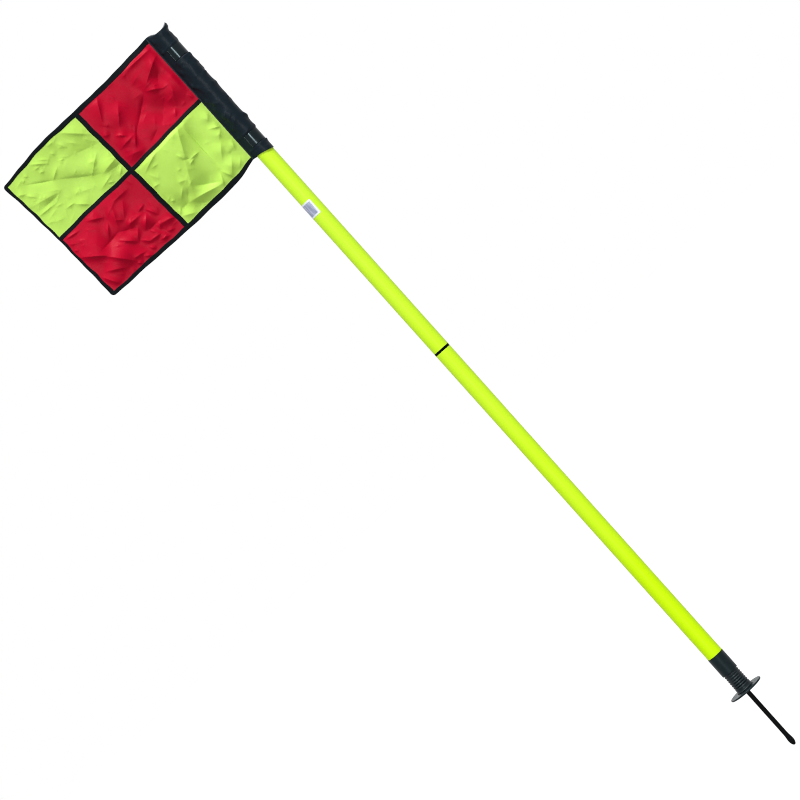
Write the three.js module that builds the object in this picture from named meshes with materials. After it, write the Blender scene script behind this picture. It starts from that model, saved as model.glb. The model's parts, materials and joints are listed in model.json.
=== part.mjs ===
// A corner flag for a playing field, in millimetres, +Z up along the pole.
// The origin is the centre of the stop disc's underside, where it meets the turf.
// The spike goes down from there, and the flag flies towards -X in the plane y = 0.

import * as THREE from 'three';
import { mergeVertices } from 'three/addons/utils/BufferGeometryUtils.js';

// Counts
const poleSides = 32; // round pieces of the pole share their corners' angles
const smallSides = 16; // small round pieces inside the neck
const flatFactor = Math.cos(Math.PI / smallSides); // a many-sided hole is narrower at its flats

// Fits
const slideGap = 0.15; // plug in tube, all round
const seatGap = 0.3; // soft or sprung pieces to what carries them
const seamGap = 0.3; // between two pieces of cloth that are sewn together
const seamEdge = 0.24; // thickness of the cloth at the seam that it folds along
const weldDistance = 1e-4; // corners nearer than this are one corner

// Ground spike, a steel rod hammered flat at its tip
const spikeRadius = 4;
const spikeDepth = 122;
const spikeTipLength = 24;
const spikeTipHalfWidth = 5;
const spikeTipHalfThickness = 2.6;
const spikeTipShares = [[0, 0.12], [0.06, 0.5], [0.16, 0.8], [0.3, 0.96], [0.45, 1]]; // [height, width]
const spikeFlangeWidth = 2.6;
const spikeFlangeThickness = 1.4;
const spikeFlangeInset = 0.3;
const spikeThreadProud = 2.5;
const spikeChamfer = 0.8;

// Stop disc
const discRadius = 31.75;
const discThickness = 3.3;
const discEdge = 0.8;

// Flexible neck, between the stop disc and the socket of the pole
const neckHeight = 37.7;
const neckGroove = 1.6; // the dark line between the socket and the boot
const bootWall = 1.7;
const bootCollarLength = 5.7;
const bootTopRadius = 14.3;
const bootFootRadius = 14.8;
const skirtRadius = 16.3;
const skirtHeight = 5;
const skirtShares = [[0, 1], [0.22, 1], [0.5, 0.5], [1, 0.25]]; // [height, flare] from the foot up
const ribCount = 7;
const ribDepth = 0.8;
const ribShares = [[0, 0], [0.3, 1], [0.7, 1]]; // [height, crest] of each rib from its valley up
const coreFlangeThickness = 3.3;
const coreBossLength = 6.4;
const coreChamfer = 0.5;
const washerThickness = 1.5;
const nutHeight = 6.5;
const nutAcrossFlatsShare = 1.5; // of the spike's diameter
const wireRadius = 1.2;
const springTurns = 7;
const curlSteps = 8;
const wireSides = 5;

// Pole
const tubeRadius = 15;
const tubeWall = 1.8;
const socketProud = 0.5; // the socket is a little wider than the tube
const socketLength = 38;
const socketWall = 1.4;
const socketFloor = 8;
const socketBossLength = 8;
const socketSpigotLength = 44;
const socketChamfer = 0.7;
const spigotChamfer = 1;
const plugWall = 2.6;
const lowerTubeLength = 681.75;
const collarLength = 4.5;
const connectorSpigotLength = 60;
const upperTubeLength = 704.75;
const capThickness = 2.3;
const capEdge = 0.7;
const capPlugLength = 18;

// Label, a sticker round the flag side of the upper tube
const labelHeight = 29.5;
const labelThickness = 0.2;
const labelGap = 0.05;
const labelDrop = 371.5; // from the top of the pole to the label's top edge
const labelFirstStep = 12; // in steps of the pole's sides, from +X towards +Y
const labelSteps = 13;

// Sleeve, one cloth sewn shut at the top and over the pole
const sleeveWall = 0.4;
const sleeveGap = 0.2;
const sleeveSlit = 0.1; // half the gap between the two layers of the web
const sleeveSlack = 1.2; // how far the loose cloth stands off between the clips
const sleeveSteps = 12; // steps of the pole's sides that it hugs on each side of +X
const webFlat = 1.64; // length of the web that lies flat before the seam
const webStitch = 0.8; // from the seam to where the web's two layers part
const roofHeight = 2.7; // top seam above the end cap
const roofLayer = 0.4;
const earReach = 4;
const earRise = 4.5;
const flagRise = 6.2; // the flag's top corner above the sleeve's top seam
const hemSlant = 5; // the hem is lower on the side away from the flag
const hemSlackShare = 0.5;
const slackShares = [[0.1, 0.8], [0.3, 1], [0.5, 0.9], [0.7, 1], [0.9, 0.8]]; // [height, slack]
const earStartShare = 0.55;
const cornerStartShare = 0.35;

// Clips
const clipLength = 22.5;
const clipWall = 1;
const clipGap = 0.15;
const clipSteps = 11; // steps of the pole's sides on each side of +X
const clipEndDrop = 35; // from the sleeve's top seam to the upper clip
const clipHemRise = 14.5; // from the hem to the lower clip
const clipLip = 0.5;
const clipLipShare = 0.5;

// Flag cloth
const flagFly = 336;
const flagHoist = 271;
const clothThickness = 0.8;
const tapeThickness = 1.2;
const bindingThickness = 1.4;
const bindingWidth = 9;
const hoistTapeWidth = 8.5;
const crossTapeWidth = 7.2;
const foldDepth = 4;
const waveDepth = 5;
const panelColumns = 12;
const panelRows = 9;
const tapeRows = 20;
const bindingColumns = 22;
const bindingRows = 16;
const cornerSteps = 4;
const crossingPasses = 6;
const foldEndShare = 0.4; // of a fold's length, over which it fades out
const foldFadeShare = 0.5; // how much of a fold is left where it starts and ends
const stillShare = 0.12; // the cloth lies flat this near to the seam

// Lines of the flag, each as [share of the way along, share of the size that it is measured in].
// Those along the fly give the drop from the top corner, as a share of the hoist.
const topEdgeShares = [[0, 0], [0.23, 0.026], [0.52, 0.043], [0.73, 0.047], [0.87, 0.069], [1.02, 0.096]];
const middleTapeShares = [[0, 0.493], [0.23, 0.514], [0.49, 0.536], [0.74, 0.541], [1, 0.558]];
const bottomEdgeShares = [[0, 0.999], [0.1, 1.034], [0.23, 1.047], [0.48, 1.053], [0.7, 1.052], [1, 1.056]];
// Those along the hoist give the reach from the seam, as a share of the fly.
const hoistTapeShares = [[0.07, 0.493], [0.54, 0.474], [1.02, 0.453]];
const flyEdgeShares = [[0.1, 1.022], [0.32, 1.003], [0.54, 0.989], [0.8, 0.979], [1.03, 0.973]];
// Width of the binding as shares of its full width.
const topBindingShares = [[0, 0.97], [0.49, 0.96], [0.8, 0.8], [1, 0.62]];
const flyBindingShares = [[0.1, 0.66], [0.54, 0.5], [0.8, 0.58], [1.03, 0.85]];
const bottomBindingShares = [[0, 0.7], [0.12, 1], [0.3, 1.08], [0.48, 0.88], [0.8, 0.8], [1, 0.6]];

// Main folds, each from one place on the flag to another: [fly, hoist, fly, hoist, width, depth].
// Widths are shares of the hoist, depths of the fold depth, and minus is towards the front.
const foldShares = [
  [0.03, 0.16, 0.4, 0.46, 0.05, -0.9],
  [0.1, 0.02, 0.33, 0.36, 0.045, 0.8],
  [0.12, 0.53, 0.36, 0.86, 0.05, 0.9],
  [0.14, 1, 0.4, 0.84, 0.05, -0.9],
  [0.52, 0.5, 0.86, 0.12, 0.05, -1],
  [0.62, 0.12, 0.97, 0.34, 0.045, 0.8],
  [0.56, 0.62, 0.76, 0.98, 0.05, 0.9],
  [0.92, 0.64, 0.72, 1, 0.045, -1],
];
const waveShares = [0.85, 0.45, 0.3]; // waves along the fly, along the hoist, and the first one's start

// Heights, from the turf up
const socketBottom = discThickness + neckHeight;
const socketTop = socketBottom + socketLength;
const collarBottom = socketTop + lowerTubeLength;
const collarTop = collarBottom + collarLength;
const poleTop = collarTop + upperTubeLength;
const capTop = poleTop + capThickness;
const roofTop = capTop + roofHeight;
const flagTop = roofTop + flagRise;
const hemInner = flagTop - flagHoist * bottomEdgeShares[0][1];

// Radii, from the pole inwards and outwards
const boreRadius = tubeRadius - tubeWall;
const spigotRadius = boreRadius - slideGap;
const plugBoreRadius = spigotRadius - plugWall;
const socketRadius = tubeRadius + socketProud;
const recessOuterRadius = socketRadius - socketWall;
const bootCollarRadius = recessOuterRadius - seatGap;
const bootInnerRadius = bootCollarRadius - bootWall;
const recessInnerRadius = bootInnerRadius - seatGap;
const coilRadius = bootInnerRadius - seatGap - wireRadius;
const bossRadius = coilRadius * Math.cos(Math.PI / curlSteps) - wireRadius - seatGap;
const spikeBoreRadius = spikeRadius / flatFactor + slideGap;
const spikeFlangeRadius = spikeRadius + spikeFlangeWidth;
const sleeveInnerRadius = tubeRadius + sleeveGap;
const sleeveRadius = sleeveInnerRadius + sleeveWall;
const clipInnerRadius = sleeveRadius + clipGap;
const webHalf = sleeveWall + sleeveSlit;
const seamReach = sleeveRadius * Math.SQRT2 + webFlat;

// Spike, core, washer and nut are clamped in one stack
const flangeTop = spikeFlangeInset + spikeFlangeThickness;
const coreFlangeTop = discThickness + coreFlangeThickness;
const coreTop = coreFlangeTop + coreBossLength;
const washerTop = coreTop + washerThickness;
const nutTop = washerTop + nutHeight;
const threadTop = nutTop + spikeThreadProud;

const materials = {
  spikeSteel: new THREE.MeshStandardMaterial({ color: 0x0b0d10, roughness: 0.4, metalness: 0.7 }),
  bareSteel: new THREE.MeshStandardMaterial({ color: 0xa8abb0, roughness: 0.35, metalness: 0.9 }),
  blackPlastic: new THREE.MeshStandardMaterial({ color: 0x1c2228, roughness: 0.45, metalness: 0 }),
  rubber: new THREE.MeshStandardMaterial({ color: 0x171d22, roughness: 0.6, metalness: 0 }),
  neonPlastic: new THREE.MeshStandardMaterial({ color: 0xcdf51e, roughness: 0.35, metalness: 0 }),
  clipPlastic: new THREE.MeshStandardMaterial({ color: 0x14181d, roughness: 0.2, metalness: 0 }),
  label: new THREE.MeshStandardMaterial({ color: 0xc3cbdd, roughness: 0.4, metalness: 0 }),
  blackCloth: new THREE.MeshStandardMaterial({ color: 0x1d2630, roughness: 0.7, metalness: 0 }),
  redCloth: new THREE.MeshStandardMaterial({ color: 0xc41e38, roughness: 0.6, metalness: 0 }),
  limeCloth: new THREE.MeshStandardMaterial({ color: 0xb4ea60, roughness: 0.6, metalness: 0 }),
};

const mix = (from, to, share) => from + (to - from) * share;
const ease = (share) => THREE.MathUtils.smoothstep(share, 0, 1);

// The height of a table of [share, value] at a share, on a smooth curve through its points.
function along(table, share) {
  let k = 0;
  while (k < table.length - 2 && share > table[k + 1][0]) k += 1;
  const slope = (i) => {
    const low = table[Math.max(i - 1, 0)];
    const high = table[Math.min(i + 1, table.length - 1)];
    return (high[1] - low[1]) / (high[0] - low[0]);
  };
  const [start, end] = [table[k], table[k + 1]];
  const span = end[0] - start[0];
  const s = (share - start[0]) / span;
  if (s < 0) return start[1] + slope(k) * (share - start[0]);
  if (s > 1) return end[1] + slope(k + 1) * (share - end[0]);
  const bend = (end[1] - start[1]) * (3 - 2 * s) * s * s;
  return start[1] + bend + span * s * (1 - s) * (slope(k) * (1 - s) - slope(k + 1) * s);
}

// A closed mesh with shared corners, no flat triangles, and its faces pointing out.
function closedSolid(geometry) {
  const loose = geometry.index ? geometry.toNonIndexed() : geometry;
  const bare = new THREE.BufferGeometry();
  bare.setAttribute('position', loose.getAttribute('position'));
  const solid = mergeVertices(bare, weldDistance);
  const position = solid.getAttribute('position');
  const corner = (i) => new THREE.Vector3().fromBufferAttribute(position, i);
  const kept = [];
  let volume = 0;
  for (let i = 0; i < solid.index.count; i += 3) {
    const [a, b, c] = [0, 1, 2].map((n) => solid.index.getX(i + n));
    if (a === b || b === c || c === a) continue;
    kept.push([a, b, c]);
    volume += corner(a).dot(corner(b).cross(corner(c)));
  }
  solid.setIndex((volume < 0 ? kept.map(([a, b, c]) => [a, c, b]) : kept).flat());
  solid.computeVertexNormals();
  return solid;
}

function fromTriangles(points, triangles) {
  const geometry = new THREE.BufferGeometry();
  geometry.setAttribute('position', new THREE.Float32BufferAttribute(points.flat(), 3));
  geometry.setIndex(triangles.flat());
  return closedSolid(geometry);
}

// A solid of revolution about Z from [radius, height] points, closed on itself or on the axis.
function turned(profile, sides) {
  const points = profile.map(([radius, height]) => new THREE.Vector2(radius, height));
  const onAxis = profile[0][0] === 0;
  if (!onAxis) points.push(points[0].clone());
  return closedSolid(new THREE.LatheGeometry(points, sides).rotateX(Math.PI / 2));
}

// A straight prism from an outline in the plane z = 0, with its holes.
function prism(outline, height, holes = []) {
  const shape = new THREE.Shape(outline.map(([x, y]) => new THREE.Vector2(x, y)));
  for (const hole of holes) shape.holes.push(new THREE.Path(hole.map(([x, y]) => new THREE.Vector2(x, y))));
  return closedSolid(new THREE.ExtrudeGeometry(shape, { depth: height, bevelEnabled: false }));
}

// Points on a circle about the pole, from one step to another, each a step of a turn over sides.
function arc(radius, first, last, sides) {
  const direction = Math.sign(last - first);
  return Array.from({ length: Math.abs(last - first) + 1 }, (_, k) => {
    const angle = (2 * Math.PI * (first + k * direction)) / sides;
    return [radius * Math.cos(angle), radius * Math.sin(angle)];
  });
}

// A solid between rings of equal count, the first and the last filled in.
function stacked(rings) {
  const count = rings[0].length;
  const triangles = [];
  for (let r = 0; r < rings.length - 1; r += 1) {
    for (let k = 0; k < count; k += 1) {
      const [a, b] = [r * count + k, r * count + ((k + 1) % count)];
      triangles.push([a, b, b + count], [a, b + count, a + count]);
    }
  }
  const top = (rings.length - 1) * count;
  for (let k = 1; k < count - 1; k += 1) {
    triangles.push([0, k + 1, k], [top, top + k, top + k + 1]);
  }
  return fromTriangles(rings.flat(), triangles);
}

// A thin solid with a front and a back face, from a place for each column, row and face.
function slab(columns, rows, place) {
  const points = [];
  const triangles = [];
  const across = columns + 1;
  const layer = across * (rows + 1);
  for (const face of [-1, 1]) {
    for (let j = 0; j <= rows; j += 1) {
      for (let i = 0; i <= columns; i += 1) points.push(place(i, j, face));
    }
  }
  const quad = (a, b, c, d) => triangles.push([a, b, c], [a, c, d]);
  const at = (i, j) => j * across + i;
  for (let j = 0; j < rows; j += 1) {
    for (let i = 0; i < columns; i += 1) {
      const square = [at(i, j), at(i + 1, j), at(i + 1, j + 1), at(i, j + 1)];
      quad(...square);
      quad(...square.map((k) => k + layer).reverse());
    }
    quad(at(0, j), at(0, j + 1), at(0, j + 1) + layer, at(0, j) + layer);
    quad(at(columns, j + 1), at(columns, j), at(columns, j) + layer, at(columns, j + 1) + layer);
  }
  for (let i = 0; i < columns; i += 1) {
    quad(at(i + 1, 0), at(i, 0), at(i, 0) + layer, at(i + 1, 0) + layer);
    quad(at(i, rows), at(i + 1, rows), at(i + 1, rows) + layer, at(i, rows) + layer);
  }
  return fromTriangles(points, triangles);
}

// Foot

function groundSpike() {
  const ring = (halfWidth, halfThickness, height) =>
    arc(1, 0, smallSides - 1, smallSides).map(([x, y]) => [x * halfWidth, y * halfThickness, height]);
  const rings = [];
  for (const [heightShare, widthShare] of spikeTipShares) {
    const height = -spikeDepth + spikeTipLength * heightShare;
    rings.push(ring(spikeTipHalfWidth * widthShare, spikeTipHalfThickness * widthShare, height));
  }
  rings.push(ring(spikeRadius, spikeRadius, -spikeDepth + spikeTipLength));
  rings.push(ring(spikeRadius, spikeRadius, spikeFlangeInset));
  rings.push(ring(spikeFlangeRadius, spikeFlangeRadius, spikeFlangeInset));
  rings.push(ring(spikeFlangeRadius, spikeFlangeRadius, flangeTop));
  rings.push(ring(spikeRadius, spikeRadius, flangeTop));
  rings.push(ring(spikeRadius, spikeRadius, threadTop - spikeChamfer));
  rings.push(ring(spikeRadius - spikeChamfer, spikeRadius - spikeChamfer, threadTop));
  return stacked(rings);
}

function stopDisc() {
  const counterbore = spikeFlangeRadius + seatGap;
  return turned([
    [counterbore, 0],
    [discRadius - discEdge, 0],
    [discRadius, discEdge],
    [discRadius, discThickness - discEdge],
    [discRadius - discEdge, discThickness],
    [spikeBoreRadius, discThickness],
    [spikeBoreRadius, flangeTop],
    [counterbore, flangeTop],
  ], poleSides);
}

function footCore() {
  const flange = recessInnerRadius;
  return turned([
    [spikeBoreRadius, discThickness],
    [flange, discThickness],
    [flange, coreFlangeTop],
    [bossRadius, coreFlangeTop],
    [bossRadius, coreTop - coreChamfer],
    [bossRadius - coreChamfer, coreTop],
    [spikeBoreRadius, coreTop],
  ], poleSides);
}

const nutHalfFlats = spikeRadius * nutAcrossFlatsShare;

function spikeWasher() {
  return turned([
    [spikeBoreRadius, coreTop],
    [nutHalfFlats + coreChamfer, coreTop],
    [nutHalfFlats + coreChamfer, washerTop],
    [spikeBoreRadius, washerTop],
  ], smallSides);
}

function spikeNut() {
  const corners = arc(nutHalfFlats / Math.cos(Math.PI / 6), 0, 5, 6);
  const hole = arc(spikeBoreRadius, smallSides - 1, 0, smallSides);
  return prism(corners, nutHeight, [hole]).translate(0, 0, washerTop);
}

// Neck

const bootTop = socketBottom + bootCollarLength;
const ribZoneBottom = discThickness + skirtHeight;
const ribPitch = (socketBottom - neckGroove - ribZoneBottom) / ribCount;

function springBoot() {
  const bottom = discThickness + seatGap;
  const outer = skirtShares.map(([heightShare, flareShare]) => [
    mix(bootFootRadius, skirtRadius, flareShare),
    mix(bottom, ribZoneBottom, heightShare),
  ]);
  for (let rib = 0; rib < ribCount; rib += 1) {
    const crest = mix(bootFootRadius, bootTopRadius, rib / (ribCount - 1));
    const height = ribZoneBottom + rib * ribPitch;
    for (const [heightShare, crestShare] of ribShares) {
      // The lowest rib runs straight into the skirt.
      if (rib === 0 && crestShare === 0) continue;
      outer.push([crest - ribDepth * (1 - crestShare), height + ribPitch * heightShare]);
    }
  }
  outer.push([bootCollarRadius - seatGap, socketBottom - neckGroove]);
  outer.push([bootCollarRadius, socketBottom], [bootCollarRadius, bootTop]);
  return turned([[bootInnerRadius, bottom], ...outer, [bootInnerRadius, bootTop]], poleSides);
}

class Helix extends THREE.Curve {
  constructor(radius, bottom, top, turns) {
    super();
    Object.assign(this, { radius, bottom, top, turns });
  }

  getPoint(share, target = new THREE.Vector3()) {
    const angle = 2 * Math.PI * this.turns * share;
    const height = mix(this.bottom, this.top, share);
    return target.set(this.radius * Math.cos(angle), this.radius * Math.sin(angle), height);
  }

  getPointAt(share, target) {
    return this.getPoint(share, target);
  }
}

function coilSpring() {
  const bottom = coreFlangeTop + seatGap + wireRadius;
  const top = socketBottom - seatGap - wireRadius;
  console.log('coil_spring: least gap between curls', (top - bottom) / springTurns - 2 * wireRadius);
  const section = arc(wireRadius, 0, wireSides - 1, wireSides);
  const wire = new THREE.Shape(section.map(([x, y]) => new THREE.Vector2(x, y)));
  const path = new Helix(coilRadius, bottom, top, springTurns);
  return closedSolid(new THREE.ExtrudeGeometry(wire, { steps: springTurns * curlSteps, extrudePath: path }));
}

// Pole

function poleSocket() {
  const floor = socketBottom + socketFloor;
  const bossBottom = socketBottom - socketBossLength;
  const recessTop = bootTop + seatGap;
  return turned([
    [0, bossBottom],
    [bossRadius - coreChamfer, bossBottom],
    [bossRadius, bossBottom + coreChamfer],
    [bossRadius, socketBottom],
    [recessInnerRadius, socketBottom],
    [recessInnerRadius, recessTop],
    [recessOuterRadius, recessTop],
    [recessOuterRadius, socketBottom],
    [socketRadius - socketChamfer, socketBottom],
    [socketRadius, socketBottom + socketChamfer],
    [socketRadius, socketTop],
    [spigotRadius, socketTop],
    [spigotRadius, socketTop + socketSpigotLength - spigotChamfer],
    [spigotRadius - spigotChamfer, socketTop + socketSpigotLength],
    [plugBoreRadius, socketTop + socketSpigotLength],
    [plugBoreRadius, floor],
    [0, floor],
  ], poleSides);
}

function poleTube(bottom, top) {
  return turned([
    [boreRadius, bottom],
    [tubeRadius, bottom],
    [tubeRadius, top],
    [boreRadius, top],
  ], poleSides);
}

function poleConnector() {
  const bottom = collarBottom - connectorSpigotLength;
  const top = collarTop + connectorSpigotLength;
  return turned([
    [plugBoreRadius, bottom],
    [spigotRadius - spigotChamfer, bottom],
    [spigotRadius, bottom + spigotChamfer],
    [spigotRadius, collarBottom],
    [tubeRadius, collarBottom],
    [tubeRadius, collarTop],
    [spigotRadius, collarTop],
    [spigotRadius, top - spigotChamfer],
    [spigotRadius - spigotChamfer, top],
    [plugBoreRadius, top],
  ], poleSides);
}

function endCap() {
  const bottom = poleTop - capPlugLength;
  return turned([
    [0, poleTop - plugWall],
    [plugBoreRadius, poleTop - plugWall],
    [plugBoreRadius, bottom],
    [spigotRadius - spigotChamfer, bottom],
    [spigotRadius, bottom + spigotChamfer],
    [spigotRadius, poleTop],
    [tubeRadius, poleTop],
    [tubeRadius, capTop - capEdge],
    [tubeRadius - capEdge, capTop],
    [0, capTop],
  ], poleSides);
}

function poleLabel() {
  const inner = tubeRadius + labelGap;
  const last = labelFirstStep + labelSteps;
  const outline = [
    ...arc(inner + labelThickness, labelFirstStep, last, poleSides),
    ...arc(inner, last, labelFirstStep, poleSides),
  ];
  return prism(outline, labelHeight).translate(0, 0, poleTop - labelDrop - labelHeight);
}

// Sleeve

const clipUpperTop = roofTop - clipEndDrop;
const clipLowerBottom = hemInner + clipHemRise;

// The rings of the sleeve from the hem up, for its outside (inset 0) or its inside (inset 1).
// Each goes from the seam along the web's front, round the pole and back along the web's back.
function sleeveRings(inset) {
  const radius = mix(sleeveRadius, sleeveInnerRadius, inset);
  const half = mix(webHalf, sleeveSlit, inset);
  const tipHalf = mix(seamEdge / 2, sleeveSlit, inset);
  const tip = -seamReach + seamGap / 2 + webStitch * inset;
  const meet = half - radius * Math.SQRT2;
  const ring = (slackShare) => {
    const round = arc(1, -sleeveSteps, sleeveSteps, poleSides).map(([x, y]) => {
      const loose = radius + (sleeveSlack * slackShare * (1 + x)) / 2;
      return [x * loose, y * loose];
    });
    return [[tip, -tipHalf], [meet, -half], ...round, [meet, half], [tip, tipHalf]];
  };
  const hemHeight = (x) => hemInner - hemSlant * ((x + seamReach) / (sleeveRadius + seamReach));
  const rings = [ring(hemSlackShare).map(([x, y]) => [x, y, hemHeight(x)])];
  const clipLowerTop = clipLowerBottom + clipLength;
  const clipUpperBottom = clipUpperTop - clipLength;
  const levels = [[clipLowerBottom, 0], [clipLowerTop, 0]];
  for (const [heightShare, slackShare] of slackShares) {
    levels.push([mix(clipLowerTop, clipUpperBottom, heightShare), slackShare]);
  }
  const shoulder = capTop + seatGap + roofLayer * (1 - inset);
  levels.push([clipUpperBottom, 0], [clipUpperTop, 0], [shoulder, 0]);
  for (const [height, slackShare] of levels) rings.push(ring(slackShare).map(([x, y]) => [x, y, height]));
  rings.push(ring(0).map(([x, y]) => {
    const reach = x > 0 ? x * (1 + (earReach - roofLayer * inset) / radius) : x;
    const ear = earRise * ease((x / radius - earStartShare) / (1 - earStartShare));
    const corner = flagRise * ease((-x / radius - cornerStartShare) / (1 - cornerStartShare));
    return [reach, THREE.MathUtils.clamp(y, -half, half), roofTop - roofLayer * inset + ear + corner];
  }));
  return rings;
}

function flagSleeve() {
  const outside = sleeveRings(0);
  const inside = sleeveRings(1);
  const count = outside[0].length;
  const points = [...outside, ...inside].flat();
  const triangles = [];
  const band = (low, high) => {
    for (let k = 0; k < count; k += 1) {
      const next = (k + 1) % count;
      triangles.push([low + k, low + next, high + next], [low + k, high + next, high + k]);
    }
  };
  // The top seam closes each wall between its front half and its back half.
  const closeTop = (start, turn) => {
    for (let k = 0; k < (count - 1) / 2; k += 1) {
      const [a, b, c, d] = [k, k + 1, count - 2 - k, count - 1 - k].map((n) => start + n);
      for (const [p, q, r] of [[a, b, c], [a, c, d]]) triangles.push(turn ? [p, r, q] : [p, q, r]);
    }
  };
  const innerStart = outside.length * count;
  for (let r = 0; r < outside.length - 1; r += 1) {
    band(r * count, (r + 1) * count);
    band(innerStart + (r + 1) * count, innerStart + r * count);
  }
  band(innerStart, 0);
  closeTop((outside.length - 1) * count, false);
  closeTop(innerStart + (inside.length - 1) * count, true);
  return fromTriangles(points, triangles);
}

// An open ring that snaps over the sleeve and the pole, its two lips turned a little outwards.
function snapClip(bottom) {
  const outer = clipInnerRadius + clipWall;
  const middle = clipInnerRadius + clipWall / 2 + clipLip;
  const lip = (2 * Math.PI * (clipSteps + clipLipShare)) / poleSides;
  const outline = [
    ...arc(outer, -clipSteps, clipSteps, poleSides),
    [middle * Math.cos(lip), middle * Math.sin(lip)],
    ...arc(clipInnerRadius, clipSteps, -clipSteps, poleSides),
    [middle * Math.cos(lip), -middle * Math.sin(lip)],
  ];
  return prism(outline, clipLength).translate(0, 0, bottom);
}

// Flag

const flyShare = (x) => (-x - seamReach) / flagFly;
const hoistShare = (z) => (flagTop - z) / flagHoist;
const drop = (table) => (share) => flagTop - flagHoist * along(table, share);
const reach = (table) => (share) => -seamReach - flagFly * along(table, share);
const shifted = (line, offset) => (share) => line(share) + offset;

// Lines along the fly give a height, and lines along the hoist give a place on X.
const topEdge = drop(topEdgeShares);
const bottomEdge = drop(bottomEdgeShares);
const flyEdge = reach(flyEdgeShares);
const topBindingEdge = (u) => topEdge(u) - bindingWidth * along(topBindingShares, u);
const bottomBindingEdge = (u) => bottomEdge(u) + bindingWidth * along(bottomBindingShares, u);
const flyBindingEdge = (v) => flyEdge(v) + bindingWidth * along(flyBindingShares, v);
const seamLine = () => -seamReach - seamGap / 2;
const hoistTapeNear = reach(hoistTapeShares);
const hoistTapeFar = shifted(hoistTapeNear, -hoistTapeWidth);
const crossTapeUpper = drop(middleTapeShares);
const crossTapeLower = shifted(crossTapeUpper, -crossTapeWidth);

// Where a line along the hoist meets a line along the fly.
function crossing(hoistLine, flyLine) {
  let x = hoistLine(0);
  let z = flyLine(0);
  for (let pass = 0; pass < crossingPasses; pass += 1) {
    z = flyLine(flyShare(x));
    x = hoistLine(hoistShare(z));
  }
  return [x, z];
}

// How far the cloth stands off the flag's plane: soft folds over a shallow wave, none at the seam.
function foldOffset(x, z) {
  const [u, v] = [flyShare(x), hoistShare(z)];
  const shape = flagFly / flagHoist;
  const [flyWaves, hoistWaves, startShare] = waveShares;
  let offset = waveDepth * Math.sin(2 * Math.PI * (flyWaves * u + hoistWaves * v + startShare));
  for (const [u0, v0, u1, v1, width, depth] of foldShares) {
    const [runX, runZ] = [(u1 - u0) * shape, v1 - v0];
    const length = Math.hypot(runX, runZ);
    const [x0, z0] = [(u - u0) * shape, v - v0];
    const way = (x0 * runX + z0 * runZ) / length ** 2;
    const aside = (z0 * runX - x0 * runZ) / length;
    const ends = ease(way / foldEndShare + foldFadeShare) * ease((1 - way) / foldEndShare + foldFadeShare);
    offset += foldDepth * depth * Math.exp(-((aside / width) ** 2)) * ends;
  }
  return offset * ease(u / stillShare);
}

// A piece of cloth between two lines along the hoist and two along the fly.
function cloth(columns, rows, thickness, near, far, upper, lower) {
  return slab(columns, rows, (i, j, face) => {
    const hoistLine = (v) => mix(near(v), far(v), i / columns);
    const flyLine = (u) => mix(upper(u), lower(u), j / rows);
    const [x, z] = crossing(hoistLine, flyLine);
    const thick = near === seamLine && i === 0 ? seamEdge : thickness;
    return [x, foldOffset(x, z) + (face * thick) / 2, z];
  });
}

function panel(near, far, upper, lower) {
  return cloth(panelColumns, panelRows, clothThickness, near, far, upper, lower);
}

// One tape folded over the top edge, round the corner, down the fly edge and back along the bottom.
function edgeBinding() {
  const corners = [topBindingEdge, bottomBindingEdge].map((line) => crossing(flyBindingEdge, line));
  const path = [];
  const flyRun = (outer, inner, fromX, toX) => {
    for (let k = 0; k <= bindingColumns; k += 1) {
      const x = mix(fromX, toX, k / bindingColumns);
      path.push([[x, outer(flyShare(x))], [x, inner(flyShare(x))]]);
    }
  };
  const corner = ([x, z], firstWidth, lastWidth, firstAngle) => {
    for (let k = 1; k < cornerSteps; k += 1) {
      const share = k / cornerSteps;
      const width = mix(firstWidth, lastWidth, share);
      const angle = firstAngle + (share * Math.PI) / 2;
      path.push([[x + width * Math.cos(angle), z + width * Math.sin(angle)], [x, z]]);
    }
  };
  const width = (outer, inner, share) => Math.abs(outer(share) - inner(share));
  const [[topX, topZ], [bottomX, bottomZ]] = corners;
  const topWidth = width(topEdge, topBindingEdge, flyShare(topX));
  const bottomWidth = width(bottomEdge, bottomBindingEdge, flyShare(bottomX));
  const flyWidths = [topZ, bottomZ].map((z) => width(flyEdge, flyBindingEdge, hoistShare(z)));
  flyRun(topEdge, topBindingEdge, seamLine(), topX);
  corner(corners[0], topWidth, flyWidths[0], Math.PI / 2);
  for (let k = 0; k <= bindingRows; k += 1) {
    const z = mix(topZ, bottomZ, k / bindingRows);
    path.push([[flyEdge(hoistShare(z)), z], [flyBindingEdge(hoistShare(z)), z]]);
  }
  corner(corners[1], flyWidths[1], bottomWidth, Math.PI);
  flyRun(bottomEdge, bottomBindingEdge, bottomX, seamLine());
  return slab(path.length - 1, 1, (i, j, face) => {
    const [x, z] = path[i][j];
    const thick = i === 0 || i === path.length - 1 ? seamEdge : bindingThickness;
    return [x, foldOffset(x, z) + (face * thick) / 2, z];
  });
}

const inside = {
  top: shifted(topBindingEdge, -seamGap),
  bottom: shifted(bottomBindingEdge, seamGap),
  fly: shifted(flyBindingEdge, seamGap),
  tapeNear: shifted(hoistTapeNear, seamGap),
  tapeFar: shifted(hoistTapeFar, -seamGap),
  crossUpper: shifted(crossTapeUpper, seamGap),
  crossLower: shifted(crossTapeLower, -seamGap),
};

const cornerFlag = new THREE.Group();

function add(parent, name, geometry, material) {
  const mesh = new THREE.Mesh(geometry, material);
  mesh.name = name;
  parent.add(mesh);
}

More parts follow.
